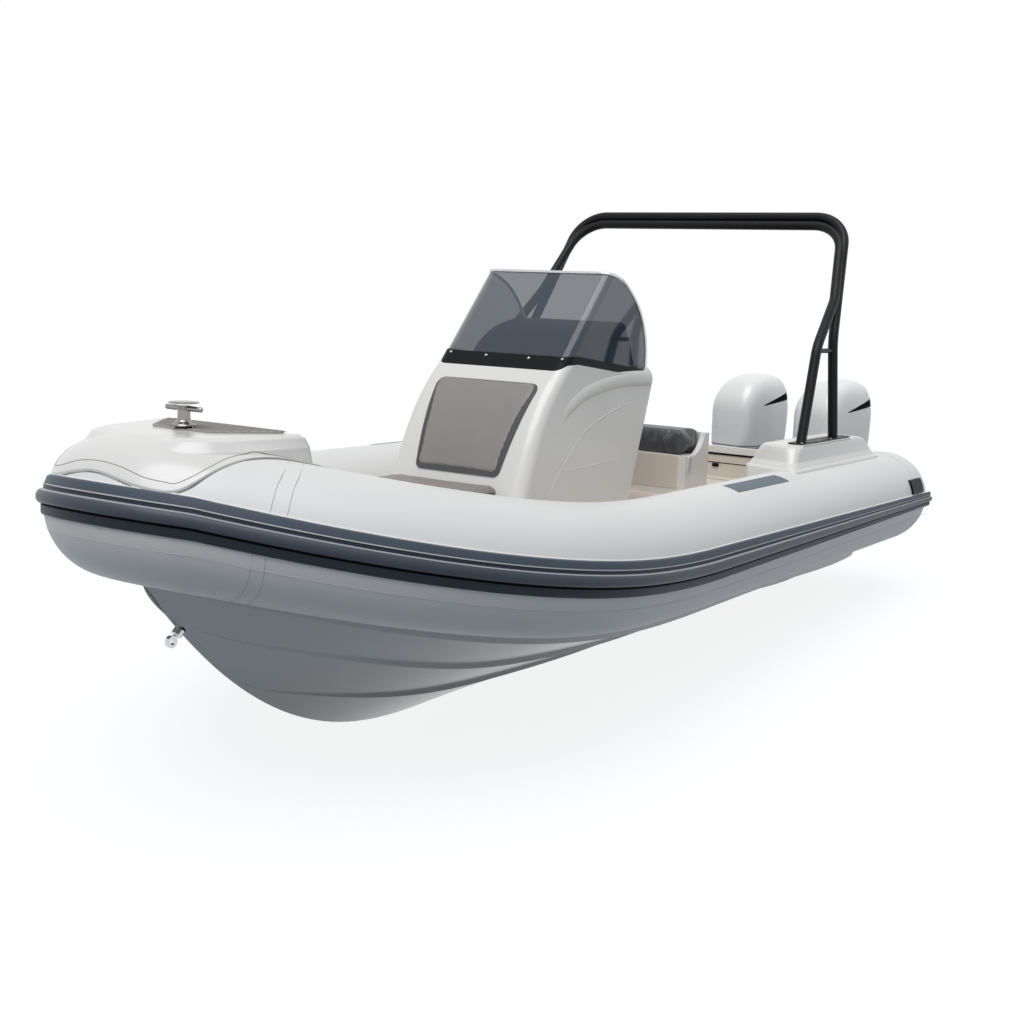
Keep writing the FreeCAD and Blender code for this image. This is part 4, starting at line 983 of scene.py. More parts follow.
@dataclass
class Cushion:
    """A foam pad in vinyl that swells under pressure.

    Attributes:
        name: Name of the piece.
        node: The plain solid that it replaces.
        finish: Its vinyl.
        voxel: Size of the mesh the swelling works on.
        shrink: What the starting shape loses on each side.
        pressure: Pressure inside while it swells.
        reach: How far a point may move.
        fill: How full it is, from 0 to 1; not used.
        frames: Steps of the swelling.
        cloth: Settings of the cover as cloth.
    """

    frames: ClassVar[int] = 20
    cloth: ClassVar[dict[str, float]] = {"quality": 5, "mass": 0.3, "tension_stiffness": 18,
                                         "compression_stiffness": 18, "bending_stiffness": 0.6}

    name: str
    node: str
    finish: Finish
    voxel: float = 0.007
    shrink: float = 0.006
    pressure: float = 4.0
    reach: float = 0.024
    fill: float = 0.8

    def build(self, nodes: dict[str, bpy.types.Object]) -> bpy.types.Object:
        """Makes the cushion from its solid.

        Args:
            nodes: The frame's nodes by name.

        Returns:
            The finished cushion.
        """
        low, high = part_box(self.node)
        mesh = nodes[self.node].data.copy()
        mesh.materials.clear()
        work = bmesh.new()
        work.from_mesh(mesh)
        bmesh.ops.remove_doubles(work, verts=work.verts, dist=1e-5)
        centre = (low + high) / 2
        span = high - low
        for vertex in work.verts:
            for axis in range(3):
                share = max(0.2, 1 - 2 * self.shrink / span[axis])
                vertex.co[axis] = centre[axis] + (vertex.co[axis] - centre[axis]) * share
        work.to_mesh(mesh)
        work.free()
        piece = put(self.name, mesh)
        self.apply(piece, "REMESH", {"mode": "VOXEL", "voxel_size": self.voxel, "use_smooth_shade": True})
        self.apply(piece, "SMOOTH", {"iterations": 6, "factor": 0.5})
        self.swell(piece)
        self.keep_inside(piece, low, high)
        self.apply(piece, "SMOOTH", {"iterations": 2, "factor": 0.4})
        self.apply(piece, "SUBSURF", {"levels": 1, "render_levels": 1})
        piece.data.materials.append(self.finish.material())
        piece.data.shade_smooth()
        mount(piece, Body.BOAT, self.finish, self.node)
        return piece

    @staticmethod
    def apply(piece: bpy.types.Object, kind: str, settings: dict[str, object]) -> None:
        """Adds a modifier, sets it and keeps its result.

        Args:
            piece: The object to change.
            kind: The modifier's kind.
            settings: Its settings by name.
        """
        modifier = piece.modifiers.new("step", kind)
        for key, value in settings.items():
            setattr(modifier, key, value)
        graph = bpy.context.evaluated_depsgraph_get()
        made = bpy.data.meshes.new_from_object(piece.evaluated_get(graph), depsgraph=graph)
        piece.modifiers.clear()
        old = piece.data
        piece.data = made
        bpy.data.meshes.remove(old)

    def swell(self, piece: bpy.types.Object) -> None:
        """Lets the cover swell under pressure and caps how far it moves."""
        rest = [v.co.copy() for v in piece.data.vertices]
        modifier = piece.modifiers.new("swell", "CLOTH")
        cloth = modifier.settings
        for key, value in self.cloth.items():
            setattr(cloth, key, value)
        cloth.use_pressure = True
        cloth.uniform_pressure_force = self.pressure
        cloth.effector_weights.gravity = 0
        modifier.point_cache.frame_start = 1
        modifier.point_cache.frame_end = self.frames
        scene = bpy.context.scene
        for frame in range(1, self.frames + 1):
            scene.frame_set(frame)
        graph = bpy.context.evaluated_depsgraph_get()
        moved = piece.evaluated_get(graph).to_mesh()
        places = [v.co.copy() for v in moved.vertices]
        piece.evaluated_get(graph).to_mesh_clear()
        piece.modifiers.clear()
        scene.frame_set(1)
        for vertex, start, end in zip(piece.data.vertices, rest, places):
            step = end - start
            if step.length > self.reach:
                step = step.normalized() * self.reach
            vertex.co = start + step

    @staticmethod
    def keep_inside(piece: bpy.types.Object, low: Vector, high: Vector) -> None:
        """Keeps the cushion on its seat and inside its place."""
        for vertex in piece.data.vertices:
            for axis in range(3):
                spare = 0.0 if axis == 2 and vertex.co.z < (low.z + high.z) / 2 else 0.004
                vertex.co[axis] = min(max(vertex.co[axis], low[axis] - spare), high[axis] + spare)


# Sub-assemblies


@dataclass
class Boat:
    """What all sub-assemblies share: the frame's nodes."""

    nodes: dict[str, bpy.types.Object]

    def dress(self, finish: Finish, *names: str) -> None:
        """Gives nodes that keep their shape a finish.

        Args:
            finish: The finish.
            *names: The nodes.
        """
        for name in names:
            node = self.nodes[name]
            node.data.materials.clear()
            node.data.materials.append(finish.material())


class Band(Enum):
    """Bands of the rubbing strake from the top down."""

    SLATE = 0
    PINSTRIPE = 1
    NAVY = 2
    NOSE = 3
    GROOVE = 4
    # Painted highlight along the nose's top edge.
    NOSE_HIGHLIGHT = 5


@dataclass
class Collar(Boat):
    """The inflated collar with its seams and banded rubbing strake."""

    radius: float = 0.300
    half_beam: float = 1.141
    bow_start: float = 0.877
    bow_length: float = 1.930
    bow_power: float = 2.484
    tip_radius: float = 0.390
    sheer_start: float = 0.392
    sheer_length: float = 2.408
    sheer_rise: float = 0.362
    strake_half: float = 0.079
    strake_stern_share: float = 0.56
    strake_stern: float = -2.860
    strake_lift: float = 0.062
    band_proud: float = 0.0125
    nose_reach: float = 0.0215
    groove_depth: float = 0.007
    seam_drop: float = 12.5
    join: float = field(init=False, default=0.0)

    def __post_init__(self) -> None:
        """Finds the share of the bow curve where the tip's arc starts."""
        low, high = 0.5, 1.0
        for _ in range(40):
            share = (low + high) / 2
            wanted = self.tip_radius * math.cos(math.atan(self.slope(share)))
            if self.half_beam * (1 - share ** self.bow_power) > wanted:
                low = share
            else:
                high = share
        self.join = low

    def slope(self, share: float) -> float:
        """Slope of the bow curve at a share of its length."""
        return self.half_beam * self.bow_power * share ** (self.bow_power - 1) / self.bow_length

    def station(self, run: float) -> tuple[Vector, Vector]:
        """Centre and outward direction of a port section.

        Args:
            run: Metres from the bow curve's start where zero or less, else share of the curve.

        Returns:
            The centre and the level outward direction.
        """
        if run <= 0:
            x, y, heading = self.bow_start + run, self.half_beam, 0.0
        elif run <= self.join:
            x = self.bow_start + run * self.bow_length
            y = self.half_beam * (1 - run ** self.bow_power)
            heading = math.atan(self.slope(run))
        else:
            first = math.atan(self.slope(self.join))
            centre = self.bow_start + self.join * self.bow_length - self.tip_radius * math.sin(first)
            heading = first + (math.pi / 2 - first) * (run - self.join) / (1 - self.join)
            x = centre + self.tip_radius * math.sin(heading)
            y = self.tip_radius * math.cos(heading)
        return Vector((x, y, COLLAR_AXIS + self.sheer(x))), Vector((math.sin(heading), math.cos(heading), 0))

    def sheer(self, x: float) -> float:
        """Rise of the collar's centreline at a place."""
        return self.sheer_rise * (max(0.0, x - self.sheer_start) / self.sheer_length) ** 2

    def on_skin(self, run: float, degrees: float, proud: float = 0.0, side: Side = Side.PORT) -> Vector:
        """Point on the collar's skin.

        Args:
            run: Place along the collar, as in station.
            degrees: Angle over the level outward direction.
            proud: Distance over the skin.
            side: Side of the boat.

        Returns:
            The point.
        """
        centre, out = self.station(run)
        angle = math.radians(degrees)
        reach = self.radius + proud
        point = centre + out * (reach * math.cos(angle)) + Vector((0, 0, reach * math.sin(angle)))
        return Vector((point.x, point.y * side.value, point.z))

    def runs(self, start_x: float, straight: int, curved: int) -> list[float]:
        """Places along the port half from an x forward to the nose."""
        first = start_x - self.bow_start
        return [first * (1 - i / straight) for i in range(straight)] + [i / curved for i in range(curved + 1)]

    def round_bow(self, rows: list[Ring]) -> list[Ring]:
        """A port row of rings continued on the starboard side."""
        other = [[Vector((p.x, -p.y, p.z)) for p in ring] for ring in reversed(rows[:-1])]
        return rows + other

    def strake_size(self, x: float) -> float:
        """Size of the strake at a place, smaller towards the stern."""
        share = min(1.0, max(0.0, (x - self.strake_stern) / (self.sheer_start - self.strake_stern)))
        return self.strake_stern_share + (1 - self.strake_stern_share) * share

    def strake_middle(self, x: float) -> float:
        """Height of the strake's middle over the collar's centreline."""
        return self.strake_lift * (max(0.0, x - self.sheer_start) / self.sheer_length) ** 3

    def strake_profile(self) -> list[tuple[float, float, Band]]:
        """Height share, distance over the skin, and band that starts at each point of the strake's section."""
        flat = self.band_proud
        upper = [(1.0, -0.004, Band.SLATE), (1.0, flat * 0.6, Band.SLATE), (0.975, flat * 0.9, Band.SLATE),
                 (0.93, flat, Band.SLATE), (0.60, flat, Band.SLATE), (0.59, flat * 1.16, Band.PINSTRIPE),
                 (0.53, flat * 1.16, Band.PINSTRIPE), (0.52, flat * 0.9, Band.NAVY), (0.325, flat * 0.9, Band.NAVY)]
        nose = []
        middle, half, steps = -0.03, 0.35, 12
        for i in range(steps + 1):
            angle = math.pi / 2 - math.pi * i / steps
            # The nose's top two steps take the painted highlight band.
            band = Band.NOSE_HIGHLIGHT if i < 2 else Band.NOSE
            nose.append((middle + half * math.sin(angle), flat + self.nose_reach * math.cos(angle) ** 0.75
                         if 0 < i < steps else flat * 0.9, band))
        nose[-1] = (nose[-1][0], nose[-1][1], Band.GROOVE)
        lower = [(-0.385, flat - self.groove_depth, Band.GROOVE), (-0.50, flat - self.groove_depth, Band.GROOVE),
                 (-0.51, flat * 0.9, Band.NAVY), (-0.93, flat * 0.95, Band.NAVY), (-0.98, flat * 0.8, Band.NAVY),
                 (-1.0, -0.004, Band.NAVY)]
        back = [(-0.4, -0.004, Band.NAVY), (0.4, -0.004, Band.NAVY)]
        return upper + nose + lower + back

    def strake(self) -> None:
        """Builds the strake round the whole boat."""
        profile = self.strake_profile()
        rows: list[Ring] = []
        for run in self.runs(self.strake_stern, 60, 64):
            centre, out = self.station(run)
            size = self.strake_size(centre.x)
            half = self.strake_half * size
            middle = self.strake_middle(centre.x)
            ring = []
            for share, proud, _ in profile:
                z = middle + share * half
                reach = math.sqrt(self.radius ** 2 - z ** 2) + (proud * size if proud > 0 else proud)
                ring.append(centre + out * reach + Vector((0, 0, z)))
            rows.append(ring)
        points, faces = skin(self.round_bow(rows))
        bands = [band.value for _, _, band in profile]
        marks = [bands[i % len(profile)] for i in range(len(faces) - 2)] + [Band.NAVY.value] * 2
        finishes = [Paintbox.slate, Paintbox.pinstripe, Paintbox.navy, Paintbox.nose, Paintbox.groove,
                    Paintbox.nose_highlight]
        piece = make_piece("strake", points, faces, finishes, marks, 30.0)
        mount(piece, Body.BOAT, Paintbox.slate, "strake_port", "strake_starboard", "strake_bow")

    def along_strake(self, share: float, turn: float, proud: float) -> list[Vector]:
        """Line round the boat beside the strake.

        Args:
            share: Height share of the strake's half height.
            turn: Degrees round the tube from there.
            proud: Distance over the skin.

        Returns:
            The line's points from port to starboard.
        """
        rows: list[Ring] = []
        for run in self.runs(self.strake_stern, 60, 64):
            centre, _ = self.station(run)
            z = self.strake_middle(centre.x) + share * self.strake_half * self.strake_size(centre.x)
            rows.append([self.on_skin(run, math.degrees(math.asin(z / self.radius)) + turn, proud)])
        return [ring[0] for ring in self.round_bow(rows)]

    def both_sides(self, spots: list[tuple[float, float]], proud: float = 0.0) -> list[list[Vector]]:
        """A line on the collar's skin and its copy on the other side.

        Args:
            spots: Place along the collar and degrees round it, for each point.
            proud: Distance over the skin.

        Returns:
            The two lines.
        """
        return [smooth_line([self.on_skin(run, degrees, proud, side) for run, degrees in spots]) for side in Side]

    def seams(self) -> None:
        """Lays the collar's seam lines and the beads beside the strake."""
        PipedLine(0.0040, Paintbox.tape).lay("strake_beads", [self.along_strake(1.0, 0.5, 0.0005),
                                                             self.along_strake(-1.0, -0.5, 0.0005)])
        PipedLine(0.0014, Paintbox.faint_seam).lay("collar_long_seam", [self.along_strake(-1.0, -self.seam_drop, 0.0)])
        upper = [(0.792, 110.0), (0.797, 88.0), (0.804, 63.4), (0.812, 47.2), (0.817, 33.4), (0.8205, 24.0)]
        after = [(run - 0.021, degrees) for run, degrees in upper]
        lower = [(0.839, -8.0), (0.843, -22.5), (0.846, -32.6), (0.851, -43.0), (0.859, -56.0), (0.872, -74.0),
                 (0.886, -90.0)]
        below = [(0.824, -8.0), (0.826, -22.0), (0.830, -36.0), (0.836, -47.0), (0.846, -66.0), (0.858, -84.0)]
        lines = [line for spots in (upper, after, lower, below) for line in self.both_sides(spots)]
        PipedLine(0.0018, Paintbox.faint_seam).lay("collar_cross_seams", lines)
        stern = [(self.strake_stern + 0.26 - self.bow_start, degrees) for degrees in range(10, 175, 8)]
        PipedLine(0.0014, Paintbox.faint_seam).lay("collar_stern_seams", self.both_sides(stern))

    def build(self) -> None:
        """Builds and dresses the collar."""
        self.dress(Paintbox.fabric, "tube_port", "tube_starboard", "tube_bow")
        self.dress(Paintbox.tread, "tube_step_pads")
        self.dress(Paintbox.trim, "stern_grabs")
        self.strake()
        self.seams()


@dataclass
class Bow(Boat):
    """The bow step with its apron, planked pad, mooring post and towing eye."""

    collar: Collar
    pad_top: float = COLLAR_AXIS + 0.650
    pad_aft: float = 2.250
    pad_front: float = 2.530
    pad_aft_half: float = 0.380
    pad_front_half: float = 0.165
    planks: int = 9
    post_x: float = 2.508
    eye_lean: float = 1.06
    eye_reach: float = 0.055
    outer_seam: tuple[tuple[float, float], ...] = (
        (2.965, 0.0), (2.957, 0.170), (2.930, 0.270), (2.865, 0.370), (2.774, 0.414), (2.577, 0.447), (2.350, 0.500),
        (2.160, 0.575))
    inner_seam: tuple[tuple[float, float], ...] = (
        (2.940, 0.0), (2.937, 0.110), (2.925, 0.225), (2.893, 0.308), (2.856, 0.358), (2.764, 0.398), (2.620, 0.410),
        (2.480, 0.425), (2.330, 0.462))

    def over_tube(self, x: float, y: float, proud: float) -> Vector:
        """Point on top of the bow tube's skin over a place in plan.

        Args:
            x: Place forward.
            y: Place to port, zero or more.
            proud: Distance over the skin.

        Returns:
            The point.
        """
        best, found = 1e9, (0.0, 0.0)
        for i in range(401):
            run = i / 400
            centre, out = self.collar.station(run)
            offset = Vector((x - centre.x, y - centre.y, 0))
            across = offset.dot(out)
            aside = (offset - out * across).length
            if aside < best and abs(across) < self.collar.radius + proud:
                best, found = aside, (run, across)
        run, across = found
        centre, _ = self.collar.station(run)
        rise = math.sqrt(max(0.0, (self.collar.radius + proud) ** 2 - across ** 2))
        return Vector((x, y, centre.z + rise))

    def seam_line(self, spots: tuple[tuple[float, float], ...], proud: float) -> list[Vector]:
        """Seam round the nose on the tube's skin, from starboard to port."""
        port = smooth_line([Vector((x, y, 0)) for x, y in spots], 6)
        laid = [self.over_tube(p.x, max(0.0, p.y), proud) for p in port]
        return both_ways(laid)

    def build(self) -> None:
        """Builds and dresses the bow."""
        self.dress(Paintbox.gelcoat, "bow_step")
        self.dress(Paintbox.planking, "bow_pad")
        self.dress(Paintbox.post_steel, "bollard")
        self.dress(Paintbox.polished, "bow_eye")
        low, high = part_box("bow_eye")
        ring = (low + high) / 2
        away = Vector((self.eye_lean, 0, -1)).normalized()
        Turned(((0.026, -0.008), (0.024, 0.010), (0.017, 0.026), (0.012, 0.036), (0.0, 0.036)),
               Paintbox.trim).place("bow_eye_foot", [(ring - away * self.eye_reach, away)])
        PipedLine(0.0016, Paintbox.seam).lay("apron_outer_seam", [self.seam_line(self.outer_seam, 0.002)])
        step = Skin(self.nodes["bow_step"])
        port = smooth_line([Vector((x, y, 2.0)) for x, y in self.inner_seam], 6)
        PipedLine(0.0014, Paintbox.seam).lay("apron_inner_seam", [step.drape(both_ways(port), -UP, 0.0004)])
        post = Vector((self.post_x, 0, self.pad_top + 0.008))
        Turned(((0.046, 0.0), (0.048, 0.004), (0.045, 0.009), (0.034, 0.014), (0.027, 0.024), (0.0255, 0.060),
                (0.027, 0.074), (0.031, 0.080), (0.0, 0.080)), Paintbox.post_steel).place("post_sleeve", [(post, UP)])
        Turned(((0.0, 0.090), (0.060, 0.0915), (0.064, 0.0945), (0.060, 0.0975), (0.020, 0.0995), (0.0, 0.0998)),
               Paintbox.post_steel).place("post_disc", [(post, UP)])
        bolts = [(post + Vector((0.037 * math.cos(a), 0.037 * math.sin(a), 0.010)), UP)
                 for a in (math.radians(45 + 90 * i) for i in range(4))]
        FastenerRow(0.006, 0.005, Paintbox.screw).place("post_bolts", bolts)
        pitch = (self.pad_front - self.pad_aft) / (self.planks + 1)
        taper = (self.pad_aft_half - self.pad_front_half) / (self.planks + 1)
        start = Vector((self.pad_aft + pitch, 0, self.pad_top))
        CaulkRow(0.0060, 0.0018, Paintbox.caulk).place("plank_caulk", start, pitch, self.planks,
                                                       self.pad_aft_half - taper - 0.012, taper)


@dataclass
class HullAndDeck(Boat):
    """The hull moulding and the cockpit sole."""

    sole: float = COLLAR_AXIS + 0.050
    hatches: tuple[tuple[float, float, float], ...] = ((1.15, 1.65, 0.26), (-2.20, -1.72, 0.34))

    def build(self) -> None:
        """Dresses the hull and the sole."""
        # The hull's finish darkens towards the keel: painted shade.
        self.dress(Paintbox.hull_gelcoat_painted_shade, "hull")
        self.dress(Paintbox.deck, "deck")
        lines = [[Vector((aft, -half, self.sole)), Vector((front, -half, self.sole)),
                  Vector((front, half, self.sole)), Vector((aft, half, self.sole))]
                 for aft, front, half in self.hatches]
        PipedLine(0.0022, Paintbox.caulk).lay("sole_hatch_lines", lines, closed=True)
        pulls = [(Vector((front - 0.05, 0, self.sole)), Vector((0, 1, 0)), Vector((-1, 0, 0)))
                 for _, front, _ in self.hatches]
        Plate(0.055, 0.035, 0.003, 0.010, Paintbox.polished).place("sole_hatch_pulls", pulls)


@dataclass
class Console(Boat):
    """The console with its cushions, screen, wheel and controls."""

    half_width: float = 0.440
    top_half_width: float = 0.422
    height: float = 0.830
    floor: float = COLLAR_AXIS + 0.050
    arch_band: tuple[Point, ...] = (
        (0.285, 0.560, -0.088), (0.262, 0.600, -0.080), (0.209, 0.655, -0.074), (0.067, 0.722, -0.071),
        (-0.082, 0.760, -0.071), (-0.259, 0.783, -0.071), (-0.492, 0.792, -0.071), (-0.690, 0.789, -0.071))
    arch_thin: tuple[Point, ...] = (
        (0.390, 0.200, -0.006), (0.345, 0.270, -0.005), (0.288, 0.330, -0.005), (0.230, 0.379, -0.005),
        (0.151, 0.450, -0.005), (0.050, 0.526, -0.005), (-0.056, 0.570, -0.005), (-0.164, 0.603, -0.005),
        (-0.298, 0.637, -0.005), (-0.459, 0.664, -0.0065))
    low_line: tuple[Point, ...] = (
        (0.237, 0.331, -0.0045), (0.038, 0.337, -0.0037), (-0.180, 0.348, -0.0037), (-0.363, 0.364, -0.0048))
    screen_front: float = 0.250
    screen_rake: float = 0.427 / 0.490
    screen_foot: float = 0.880
    screw_places: tuple[tuple[float, float], ...] = ((-0.349, 0.917), (-0.109, 0.912), (0.168, 0.912), (0.376, 0.917))
    wheel: Point = (-0.850, -0.040, COLLAR_AXIS + 0.880)
    wheel_tilt: float = 25.0
    # Size and offset of the dark rim of painted shade round the backrest.
    shade_rim_scale: Point = (1.020, 1.034, 1.022)
    shade_rim_shift: Point = (0.0021, 0.006, -0.006)

    def side_point(self, x: float, height: float, side: Side, proud: float) -> Vector:
        """Point on the console's side at a place and a height over the collar's axis."""
        z = COLLAR_AXIS + height
        share = (z - self.floor) / self.height
        half = self.half_width + (self.top_half_width - self.half_width) * share
        return Vector((x, side.value * (half + proud), z))

    def arches(self) -> None:
        """Lays the broad arched band and the thin moulded lines on both sides."""
        for name, spots, radius, sides in (("console_arch_band", self.arch_band, 0.080, 64),
                                           ("console_arch_line", self.arch_thin, 0.007, 20),
                                           ("console_low_line", self.low_line, 0.005, 16)):
            lines = [smooth_line([self.side_point(x, z, side, proud) for x, z, proud in spots]) for side in Side]
            PipedLine(radius, Paintbox.gelcoat, sides).lay(name, lines)

    def screws(self) -> None:
        """Sets the screws along the screen's foot band."""
        spots = []
        for y, height in self.screw_places:
            x = self.screen_front - self.screen_rake * (height - self.screen_foot) + 0.004
            spots.append((Vector((x, y, COLLAR_AXIS + height)), Vector((1.0, 0.0, self.screen_rake))))
        FastenerRow(0.0095, 0.0045, Paintbox.screw).place("band_screws", spots)
        FastenerRow(0.0125, 0.0015, Paintbox.groove).place("band_screw_seats", spots)

    def instruments(self) -> None:
        """Sets a chart screen, round gauges and a switch panel on the dash."""
        dash = Skin(self.nodes["dash_hood"])
        right, up = Vector((0, -1, 0)), Vector((0.47, 0, 0.88))
        facing = right.cross(up).normalized()

        def spot(y: float, z: float, proud: float = 0.0) -> Vector:
            """Point on the dash's face."""
            return dash.meet(Vector((-1.5, y, z)), Vector((1, 0, 0))) + facing * proud

        Plate(0.270, 0.170, 0.012, 0.014, Paintbox.trim).place("chart_screen_case", [(spot(0.175, 1.405), right, up)])
        Plate(0.236, 0.138, 0.003, 0.006, Paintbox.gauge).place("chart_screen_glass",
                                                                [(spot(0.175, 1.405, 0.012), right, up)])
        Plate(0.130, 0.050, 0.006, 0.008, Paintbox.trim).place("switch_panel", [(spot(-0.190, 1.330), right, up)])
        Plate(0.016, 0.028, 0.006, 0.004, Paintbox.gauge).place("switches", [
            (spot(-0.190 + step * 0.028, 1.330, 0.006), right, up) for step in (-1.5, -0.5, 0.5, 1.5)])
        dials = [(spot(y, 1.430), facing) for y in (-0.110, -0.200, -0.290)]
        Turned(((0.040, -0.002), (0.040, 0.006), (0.036, 0.009), (0.033, 0.006), (0.0, 0.006)),
               Paintbox.charcoal).place("gauge_bezels", dials)
        Turned(((0.033, 0.004), (0.0325, 0.0075), (0.0, 0.0078)), Paintbox.gauge).place("gauge_faces", dials)
        tilt = math.radians(self.wheel_tilt)
        away = Vector((-math.cos(tilt), 0, math.sin(tilt)))
        Turned(((0.030, 0.0), (0.034, 0.014), (0.031, 0.020), (0.020, 0.024), (0.0, 0.025)),
               Paintbox.polished).place("wheel_hub_cap", [(Vector(self.wheel), away)], Body.WHEEL)

    def backrest_shade_rim(self) -> None:
        """Sets the dark rim that the grey backrest sits in: painted shade round the pad's edges."""
        source = self.nodes["console_back_pad"].data
        low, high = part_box("console_back_pad")
        centre = (low + high) / 2
        points = [centre + (vertex.co - centre) * Vector(self.shade_rim_scale) + Vector(self.shade_rim_shift)
                  for vertex in source.vertices]
        faces = [tuple(face.vertices) for face in source.polygons]
        # A charcoal copy of the pad, a little larger and set back, whose edge shows as painted shade.
        piece = make_piece("backrest_shade_rim", points, faces, [Paintbox.charcoal])
        mount(piece, Body.BOAT, Paintbox.charcoal)

    def build(self) -> None:
        """Builds and dresses the console."""
        self.dress(Paintbox.gelcoat, "console")
        self.dress(Paintbox.hood, "dash_hood")
        self.dress(Paintbox.screen, "windscreen")
        self.dress(Paintbox.polished, "windscreen_rail")
        self.dress(Paintbox.trim, "windscreen_band", "steering_wheel", "helm_unit", "throttle_binnacle")
        Cushion("console_backrest", "console_back_pad", Paintbox.grey_vinyl, 0.006, 0.002, 1.5, 0.006,
                0.9).build(self.nodes)
        Cushion("console_cushion", "console_seat_cushion", Paintbox.warm_vinyl, 0.008, 0.008).build(self.nodes)
        self.backrest_shade_rim()
        self.arches()
        self.screws()
        self.instruments()


@dataclass
class HelmSeat(Boat):
    """The helm seat with its moulded sides, cushion and locker front."""

    half_width: float = 0.400
    front: float = -1.250
    panel: float = 0.635
    recess: float = -1.300

    def build(self) -> None:
        """Builds and dresses the helm seat."""
        self.dress(Paintbox.gelcoat, "helm_seat")
        Cushion("helm_cushion", "helm_seat_cushion", Paintbox.charcoal, 0.008, 0.008).build(self.nodes)
        across, ahead = Vector((0, 1, 0)), Vector((1, 0, 0))
        Plate(0.690, 0.205, 0.004, 0.012, Paintbox.beige).place(
            "seat_locker_front", [(Vector((self.front, 0, self.panel)), across, UP)])
        Plate(0.060, 0.030, 0.006, 0.006, Paintbox.trim).place(
            "seat_locker_latch", [(Vector((self.front + 0.004, 0, self.panel + 0.080)), across, UP)])
        sides = [(Vector((self.recess, side.value * self.half_width, self.panel + 0.050)), ahead * -side.value, UP)
                 for side in Side]
        Plate(0.052, 0.110, 0.004, 0.026, Paintbox.gelcoat).place("seat_recess_rims", sides)
        # The recesses' grey is painted shade inside the white rims.
        Plate(0.036, 0.094, 0.0055, 0.018, Paintbox.shadow_grey).place("seat_recesses", sides)


@dataclass
class Stern(Boat):
    """The stern moulding, plinths and arch."""

    plinth_levels: tuple[tuple[float, ...], ...] = (
        (0.120, -1.000, -2.440, 0.830, 1.222, 0.060, 0.150), (0.300, -1.000, -2.440, 0.830, 1.222, 0.060, 0.150),
        (0.306, -1.004, -2.436, 0.833, 1.219, 0.060, 0.150), (0.309, -1.016, -2.424, 0.842, 1.209, 0.062, 0.145),
        (0.316, -1.024, -2.412, 0.848, 1.202, 0.064, 0.140), (0.336, -1.036, -2.395, 0.855, 1.197, 0.068, 0.130),
        (0.342, -1.048, -2.383, 0.863, 1.189, 0.070, 0.125), (0.352, -1.055, -2.375, 0.868, 1.187, 0.072, 0.115),
        (0.395, -1.080, -2.320, 0.890, 1.184, 0.080, 0.085), (0.420, -1.098, -2.270, 0.905, 1.182, 0.086, 0.060),
        (0.433, -1.112, -2.225, 0.918, 1.179, 0.090, 0.045), (0.439, -1.130, -2.170, 0.934, 1.175, 0.090, 0.035),
        (0.440, -1.160, -2.110, 0.955, 1.168, 0.080, 0.020))
    bulkhead_front: float = -2.350
    latch: tuple[float, float] = (0.085, 0.570)
    panel_top: float = 0.588
    hinge_half: float = 0.64
    plate_middle: Point = (-1.590, 1.125, COLLAR_AXIS + 0.440)
    plate_size: Point = (0.824, 0.104, 0.045)
    bolts_along: tuple[float, ...] = (-1.95, -1.69, -1.49, -1.23)
    bolts_across: tuple[float, ...] = (1.095, 1.155)

    def plinth(self, side: Side) -> None:
        """Builds an arch plinth with its flange, ledge and steep walls.

        Args:
            side: The plinth's side.
        """
        rings = []
        for height, front, aft, inner, outer, radius, skew in self.plinth_levels:
            ring = []
            for x, y in Plate(front - aft, outer - inner, 0.01, radius, Paintbox.gelcoat).outline(0.0):
                cut = max(0.0, x) / (front - aft) * (1 - 2 * y / (outer - inner)) * skew
                ring.append(Vector(((front + aft) / 2 + x - cut, side.value * ((inner + outer) / 2 + y),
                                    COLLAR_AXIS + height)))
            rings.append(ring)
        points, faces = skin(rings)
        name = "plinth_" + side.word
        piece = make_piece(name + "_moulding", points, faces, [Paintbox.gelcoat], None, 50.0)
        mount(piece, Body.BOAT, Paintbox.gelcoat, name)
        middle_x, middle_y, top = self.plate_middle
        length, width, radius = self.plate_size
        edge = [Vector((middle_x + x, side.value * middle_y + y, top))
                for x, y in Plate(length, width, 0.01, radius, Paintbox.gelcoat).outline(0.0)]
        PipedLine(0.0045, Paintbox.gelcoat, 12).lay(name + "_plate_rim", [edge], closed=True)

    def bulkhead(self) -> None:
        """Sets the bulkhead's hinge line, hinges and latches."""
        across = Vector((0, 1, 0))
        y, z = self.latch
        spots = [(Vector((self.bulkhead_front, side.value * y, z)), across, UP) for side in Side]
        Plate(0.048, 0.024, 0.010, 0.005, Paintbox.trim).place("bulkhead_latches", spots)
        PipedLine(0.0030, Paintbox.groove).lay("bulkhead_hinge_line", [
            [Vector((self.bulkhead_front, side.value * self.hinge_half, self.panel_top)) for side in reversed(Side)]])
        hinges = [(Vector((self.bulkhead_front, side.value * 0.353, z + 0.004)), across, UP) for side in Side]
        Plate(0.070, 0.012, 0.005, 0.003, Paintbox.trim).place("bulkhead_hinges", hinges)

    def build(self) -> None:
        """Builds and dresses the stern."""
        self.dress(Paintbox.locker, "stern_moulding")
        self.dress(Paintbox.trim, "well_seal")
        self.dress(Paintbox.tube, "arch", "arch_base_plates")
        for side in Side:
            self.plinth(side)
        self.bulkhead()
        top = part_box("arch_base_plates")[1].z
        spots = [(Vector((x, side.value * y, top)), UP) for side in Side
                 for x in self.bolts_along for y in self.bolts_across]
        FastenerRow(0.008, 0.005, Paintbox.screw).place("plate_bolts", spots)


